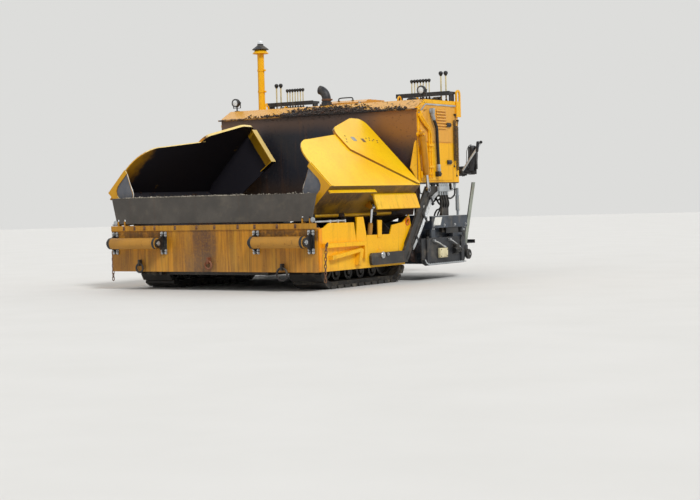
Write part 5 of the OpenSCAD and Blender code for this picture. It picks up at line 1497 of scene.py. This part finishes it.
# %% Step plates, wheels and treads
STEP_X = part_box("walkway")[1].x
CRANK_X = 1.190
for side_name, s in SIDES:
    plate = bmesh.new()
    slope = [(2.7145, 0.1705), (2.7775, 0.1705), (3.0515, 0.9975), (2.9885, 0.9975)]
    sheet_metal(plate, slope, 0.0015, outward(s, STEP_X - 0.0005, 0, 0))
    settle(f"step_side_{side_name}", plate, "pale", "screed")
    wheel = bmesh.new()
    hub = at(s * 1.268, 2.800, 0.232)
    out = hub + Vector((s, 0, 0))
    tyre = [(0.012, 0.0), (0.020, 0.0), (0.022, 0.004), (0.036, 0.006), (0.040, 0.002), (0.050, 0.002), (0.054, 0.007),
            (0.054, 0.027), (0.050, 0.032), (0.040, 0.032), (0.036, 0.028), (0.022, 0.030), (0.020, 0.034),
            (0.012, 0.034), (0.012, 0.0)]
    turned(wheel, tyre, hub, out, sides=36)
    settle(f"guide_wheel_{side_name}", wheel, "cord", "screed")
    disc = bmesh.new()
    shape = [(0.0, 0.005), (0.034, 0.009), (0.036, 0.012), (0.036, 0.024), (0.034, 0.027), (0.0, 0.031)]
    turned(disc, shape, hub, out, sides=30)
    bolt(disc, at(s * 1.300, 2.800, 0.232), (s, 0, 0), 0.020, 0.010)
    settle(f"guide_wheel_disc_{side_name}", disc, "bright", "screed")
    fork = bmesh.new()
    side_block(fork, s, 1.260, 0.008, (2.772, 2.828), (0.210, 0.330), 0.003)
    side_block(fork, s, 1.256, 0.006, (2.745, 2.815), (0.300, 0.345), 0.003)
    settle(f"guide_wheel_fork_{side_name}", fork, "dark", "screed")
    crank = bmesh.new()
    grip = at(s * (CRANK_X - 0.084), 2.762, 0.930)
    pear = [(0.0, 0.0), (0.0115, 0.0), (0.0155, 0.006), (0.0165, 0.030), (0.015, 0.052), (0.0115, 0.062), (0.0, 0.064)]
    turned(crank, pear, grip, grip + UP, sides=22)
    settle(f"crank_grip_{side_name}", crank, "plastic", "screed")
    scale = bmesh.new()
    face = s * CRANK_X + 0.0225
    block(scale, at(face, 2.752, 0.705), at(face + 0.002, 2.772, 0.855), 0.0006)
    for index in range(9):
        z, end = index * 0.016, 2.763 if index % 4 else 2.772
        block(scale, at(face + 0.0015, 2.752, 0.716 + z), at(face + 0.0027, end, 0.7175 + z), 0.0)
    settle(f"crank_scale_{side_name}", scale, "white", "screed")
studs = bmesh.new()
for row in range(5):
    y = 2.757 + row * 0.068 if row < 4 else 3.018
    for column in range(48):
        x = -1.20 + column * 0.051 + (0.0255 if row % 2 else 0.0)
        if x < 1.21:
            spot = at(x, y, 0.350)
            bar(studs, spot - Vector((0, 0, 0.001)), spot + Vector((0, 0, 0.0035)), 0.0075, 0.0045, sides=6)
settle("step_studs", studs, "dark", "screed")
print("steps done; side plate at x", round(STEP_X, 3))

# %% [markdown]
# ## Dried asphalt
# Asphalt dries in crumbs wherever a shovel or the flow leaves it: along the hood's lip, on the apron's edge, on
# the hopper floor and the conveyors. A particle system could scatter them, but then they could not be baked
# into one mesh easily, so each crumb is a small ball whose corners are pushed in and out at random.

# %% Scattering crumbs
BATCH = 200  # crumbs are made in small meshes, because a bmesh operator slows down as its mesh grows


def crumb_heap(name, count, spot, finish="tar", body="chassis", seed=1, sizes=(0.004, 0.012), flat=0.7):
    """Scatters count crumbs. spot(dice) gives a place, or None to leave one out."""
    dice = random.Random(seed)
    heap = bmesh.new()
    left = count
    while left > 0:
        batch = bmesh.new()
        for _ in range(min(left, BATCH)):
            place = spot(dice)
            if place is None:
                continue
            size = dice.uniform(*sizes) * (1.7 if dice.random() < 0.08 else 1.0)
            wide, deep, tall = dice.uniform(0.7, 1.3), dice.uniform(0.7, 1.3), flat * dice.uniform(0.7, 1.2)
            turn = Matrix.Rotation(dice.uniform(0, math.tau), 4, "Z")
            seat = Matrix.Translation(place) @ turn @ Matrix.Diagonal((wide, deep, tall, 1))
            ball = bmesh.ops.create_icosphere(batch, subdivisions=1, radius=size, matrix=seat)
            for vert in ball["verts"]:
                vert.co += (vert.co - place) * dice.uniform(-0.28, 0.28)
        left -= BATCH
        part = bpy.data.meshes.new("batch")
        batch.to_mesh(part)
        batch.free()
        heap.from_mesh(part)
        bpy.data.meshes.remove(part)
    return settle(name, heap, finish, body, crease=50, merge=0)


print("crumbs are made in batches of", BATCH)

# %% [markdown]
# A function for each place says where a crumb may lie. Along the lip the crumbs crowd beside the exhaust, where
# the crew shovels, and they thin out up the slope.


# %% Crumbs on the hood's lip and the apron
def lip_spot(dice):
    """Along the hood's lip, crowded left of the exhaust, thinning out up the slope."""
    x = dice.gauss(0.08, 0.30) if dice.random() < 0.72 else dice.uniform(-0.9, 1.15)
    if abs(x) > 1.2:
        return None
    reach = 0.03 + 0.12 * max(0.0, 1 - ((x - 0.1) / 0.6) ** 2)
    y = 1.815 + abs(dice.gauss(0, reach))
    if y > 2.0 or (abs(x) < 0.085 and y > 1.99):
        return None
    return at(x, y, 1.752 + (y - 1.812) * (0.103 / 0.198) + dice.uniform(-0.001, 0.004))


crumb_heap("lip_crumbs", 1500, lip_spot, seed=3, sizes=(0.003, 0.010))
crumb_heap("lip_lumps", 170, lip_spot, seed=5, sizes=(0.010, 0.021), flat=0.6)


def apron_spot(dice):
    """On the apron's upper edge, crowded over its middle and right."""
    x = dice.uniform(-1.2, 1.2)
    crowd = 1.0 if -1.07 < x < 0.42 else 0.25
    return at(x, dice.uniform(0.0145, 0.0235), 0.9125 + abs(dice.gauss(0, 0.0045))) if dice.random() < crowd else None


crumb_heap("apron_fringe", 900, apron_spot, finish="dust", body="apron", seed=8, sizes=(0.002, 0.0065))
print("lip and apron strewn")

# %% [markdown]
# Inside the hopper the floor is not level, so a line is dropped onto the CAD meshes to find it. `BVHTree` is
# Blender's way to do that fast.


# %% Crumbs in the hopper
def top_of(*names):
    """Gives a function that drops a line onto these nodes and says how high it lands."""
    trees = []
    for name in names:
        solid = bmesh.new()
        solid.from_mesh(nodes[name].data)
        trees.append(BVHTree.FromBMesh(solid))
        solid.free()

    def height(x, y):
        hits = [tree.ray_cast(at(x, y, 1.2), Vector((0, 0, -1)))[0] for tree in trees]
        return max((hit.z for hit in hits if hit), default=None)
    return height


hopper_top = top_of("hopper_floor", "conveyors")


def floor_spot(dice):
    """Over the whole hopper floor, crowded along the foot of the bulkhead and beside the conveyors."""
    kind = dice.random()
    x = dice.uniform(-1.03, 1.03) if kind < 0.55 else math.copysign(dice.gauss(0.66, 0.05), dice.random() - 0.5)
    y = 1.80 - abs(dice.gauss(0, 0.07)) if kind < 0.35 else dice.uniform(0.12, 1.78)
    z = hopper_top(x, y)
    return at(x, y, z + abs(dice.gauss(0, 0.002))) if z is not None and z > 0.4 else None


crumb_heap("hopper_crumbs", 1700, floor_spot, seed=13, sizes=(0.004, 0.013))


def wing_floor_spot(s):
    """On a wing's bottom plate, thinning out away from its hinge."""
    def spot(dice):
        along, y = dice.uniform(0.05, 0.38), dice.uniform(0.13, 1.66)
        tall = 0.0075 + abs(dice.gauss(0, 0.003))
        return on_wing(s, along, y, tall) if dice.random() < 0.3 + 0.7 * (0.38 - along) / 0.33 else None
    return spot


for side_name, s in SIDES:
    crumb_heap(f"wing_crumbs_{side_name}", 620, wing_floor_spot(s), body=f"wing_{side_name}", seed=21 + s,
               sizes=(0.003, 0.011))


def bumper_spot(dice):
    """On the flange of the bumper's top angle."""
    x = dice.gauss(-0.2, 0.45)
    return at(x, -0.002 + dice.uniform(-0.004, 0.004), 0.6365 + abs(dice.gauss(0, 0.002))) if abs(x) < 1.2 else None


crumb_heap("angle_crumbs", 260, bumper_spot, seed=31, sizes=(0.002, 0.006))
print("crumbs scattered")

# %% [markdown]
# ## Hood top
# The hatch has a bent grab handle, two toggle latches and louvres pressed into its lid. The exhaust gets its
# rusty clamp and flange bolts, and the hood its filler caps and lifting eyes.

# %% Hatch handle, latches and caps
handle = bmesh.new()
bends = ((0.030, 1.905), (0.032, 1.932), (0.060, 1.941), (0.182, 1.941), (0.210, 1.932), (0.212, 1.905))
tube(handle, flow([at(x, 2.262, z) for x, z in bends], 30), 0.0065, sides=10)
for x in (0.031, 0.211):
    foot = at(x, 2.262, 1.9105)
    turned(handle, [(0.0, 0.0), (0.015, 0.0), (0.015, 0.004), (0.0, 0.004)], foot, foot + UP, sides=18)
settle("hatch_handle", handle, "dark", "hatch", crease=70)
vents = bmesh.new()
for row in range(2):
    for column in range(6):
        spot = Matrix.Translation(at(-0.095 + column * 0.086, 2.375 + row * 0.105, 1.9115))
        tilt = Matrix.Rotation(math.radians(14), 4, "X")
        block(vents, (-0.033, -0.012, -0.002), (0.033, 0.010, 0.0065), 0.003, spot @ tilt)
settle("hatch_louvres", vents, "hatch", "hatch")
toggles = bmesh.new()
for x in (-0.100, 0.342):
    spot = Matrix.Translation(at(x, 2.1985, 1.873))
    block(toggles, (-0.014, -0.010, -0.012), (0.014, 0.001, 0.012), 0.002, spot)
    bow = ((-0.009, -0.010, 0.006), (-0.009, -0.014, 0.018), (0.009, -0.014, 0.018), (0.009, -0.010, 0.006))
    tube(toggles, flow([spot @ Vector(p) for p in bow], 16), 0.002)
settle("hatch_toggles", toggles, "bright", "hatch")
clamp = bmesh.new()
stack = at(0, 2.070, 1.855)
band = [(0.0478, 0.052), (0.0515, 0.052), (0.0530, 0.056), (0.0530, 0.070), (0.0515, 0.074), (0.0478, 0.074)]
turned(clamp, band + band[:1], stack, stack + UP, sides=36)
block(clamp, stack + Vector((0.050, -0.008, 0.054)), stack + Vector((0.074, -0.002, 0.072)), 0.0015)
block(clamp, stack + Vector((0.050, 0.002, 0.054)), stack + Vector((0.074, 0.008, 0.072)), 0.0015)
bolt(clamp, stack + Vector((0.064, -0.008, 0.063)), (0, -1, 0), 0.011, 0.007)
for index in range(4):
    angle = math.radians(45 + index * 90)
    bolt(clamp, stack + Vector((0.066 * math.cos(angle), 0.066 * math.sin(angle), 0.010)), (0, 0, 1), 0.012, 0.008)
settle("exhaust_clamp", clamp, "rusty")
caps = bmesh.new()
for x, y, r in ((0.930, 2.300, 0.045), (-0.620, 2.480, 0.038)):
    spot = at(x, y, 1.8545)
    wide = r * 1.12
    shape = [(0.0, 0.0), (r, 0.0), (r, 0.014), (wide, 0.016), (wide, 0.034), (r * 0.95, 0.041), (0.0, 0.043)]
    turned(caps, shape, spot, spot + UP, sides=30)
    for index in range(10):
        angle = index * math.tau / 10
        low, high = (spot + Vector((wide * math.cos(angle), wide * math.sin(angle), z)) for z in (0.017, 0.033))
        bar(caps, low, high, 0.004, sides=8)
settle("filler_caps", caps, "plastic")
eyes = bmesh.new()
for x in (-0.86, 0.86):
    for y in (2.16, 2.52):
        arc = ((-0.03, 1.853), (-0.03, 1.878), (-0.018, 1.9), (0, 1.907), (0.018, 1.9), (0.03, 1.878), (0.03, 1.853))
        tube(eyes, flow([at(x, y + along, z) for along, z in arc], 28), 0.009, sides=10)
        block(eyes, at(x - 0.024, y - 0.048, 1.8545), at(x + 0.024, y + 0.048, 1.8605), 0.002)
settle("lifting_eyes", eyes, "hood", crease=70)
print("hood top done")

# %% [markdown]
# ## Rear of the hood
# The rear plate carries the radiator's louvred door between two plain doors, with latches and hinges. Below
# them lies a row of hydraulic fittings, and hoses hang between them.

# %% Rear doors and fittings
REAR = 2.700
for name, x0, x1 in (("left", 0.520, 1.040), ("middle", -0.400, 0.400), ("right", -1.040, -0.520)):
    door = bmesh.new()
    block(door, at(x0, REAR - 0.001, 1.120), at(x1, REAR + 0.012, 1.760), 0.005)
    block(door, at(x0 + 0.022, REAR + 0.010, 1.142), at(x1 - 0.022, REAR + 0.016, 1.738), 0.003)
    for z in (1.22, 1.66):
        low, high = (at(x0 - 0.004, REAR + 0.010, z + half) for half in (-0.040, 0.040))
        bar(door, low, high, 0.009, round_off=0.002, sides=14)
    settle(f"rear_door_{name}", door, "yellow")
    if name == "middle":
        slats = bmesh.new()
        for row in range(17):
            spot = Matrix.Translation(at(0, REAR + 0.017, 1.185 + row * 0.032))
            tilt = Matrix.Rotation(math.radians(-32), 4, "X")
            block(slats, (-0.330, -0.003, -0.014), (0.330, 0.004, 0.010), 0.002, spot @ tilt)
        settle("rear_louvres", slats, "dark")
        frame_bars = bmesh.new()
        for x in (-0.345, 0.345):
            block(frame_bars, at(x - 0.012, REAR + 0.015, 1.160), at(x + 0.012, REAR + 0.030, 1.722), 0.003)
        for z in (1.160, 1.722):
            block(frame_bars, at(-0.357, REAR + 0.015, z - 0.010), at(0.357, REAR + 0.030, z + 0.010), 0.003)
        settle("rear_louvre_frame", frame_bars, "yellow")
    latch = bmesh.new()
    spot = at(x1 - 0.045 if name != "middle" else x1 - 0.022, REAR + 0.015, 1.44)
    block(latch, spot - Vector((0.016, 0, 0.045)), spot + Vector((0.016, 0.009, 0.045)), 0.003)
    block(latch, spot - Vector((0.006, -0.007, 0.030)), spot + Vector((0.006, 0.019, 0.030)), 0.003)
    settle(f"rear_latch_{name}", latch, "dark")
FITTING_Z = 1.055
fittings = bmesh.new()
for index in range(10):
    spot = at(-0.36 + index * 0.08, REAR + 0.0005, FITTING_Z)
    bar(fittings, spot, spot + Vector((0, 0.012, 0)), 0.017, sides=6)
    bar(fittings, spot + Vector((0, 0.011, 0)), spot + Vector((0, 0.018, 0)), 0.0115, round_off=0.002, sides=16)
settle("rear_fittings", fittings, "grey")
REAR_HOSES = ((-0.36, -0.12, 0.87), (-0.28, 0.04, 0.84), (-0.20, 0.20, 0.82), (-0.04, 0.28, 0.845),
              (0.12, 0.36, 0.865))  # both ends' x, and the lowest z
for index, (x0, x1, low) in enumerate(REAR_HOSES):
    behind = 0.100 + index * 0.021  # each hose hangs behind the one before
    sag = ((x0, 0.028, FITTING_Z), (x0, 0.070, 1.048), (x0 + 0.008, 0.098, 1.01),
           ((x0 * 3 + x1) / 4, behind, low + 0.03), ((x0 + x1) / 2, behind, low),
           ((x0 + x1 * 3) / 4, behind, low + 0.03), (x1 - 0.008, 0.098, 1.01), (x1, 0.070, 1.048),
           (x1, 0.028, FITTING_Z))
    run = hose(f"rear_hose_{index + 1}", [at(x, REAR + y, z) for x, y, z in sag], 0.0095, count=36)
    print("rear hose", index + 1, run, "m")

# %% [markdown]
# The last cell brings the scene up to date.

# %% Finish
bpy.context.view_layer.update()
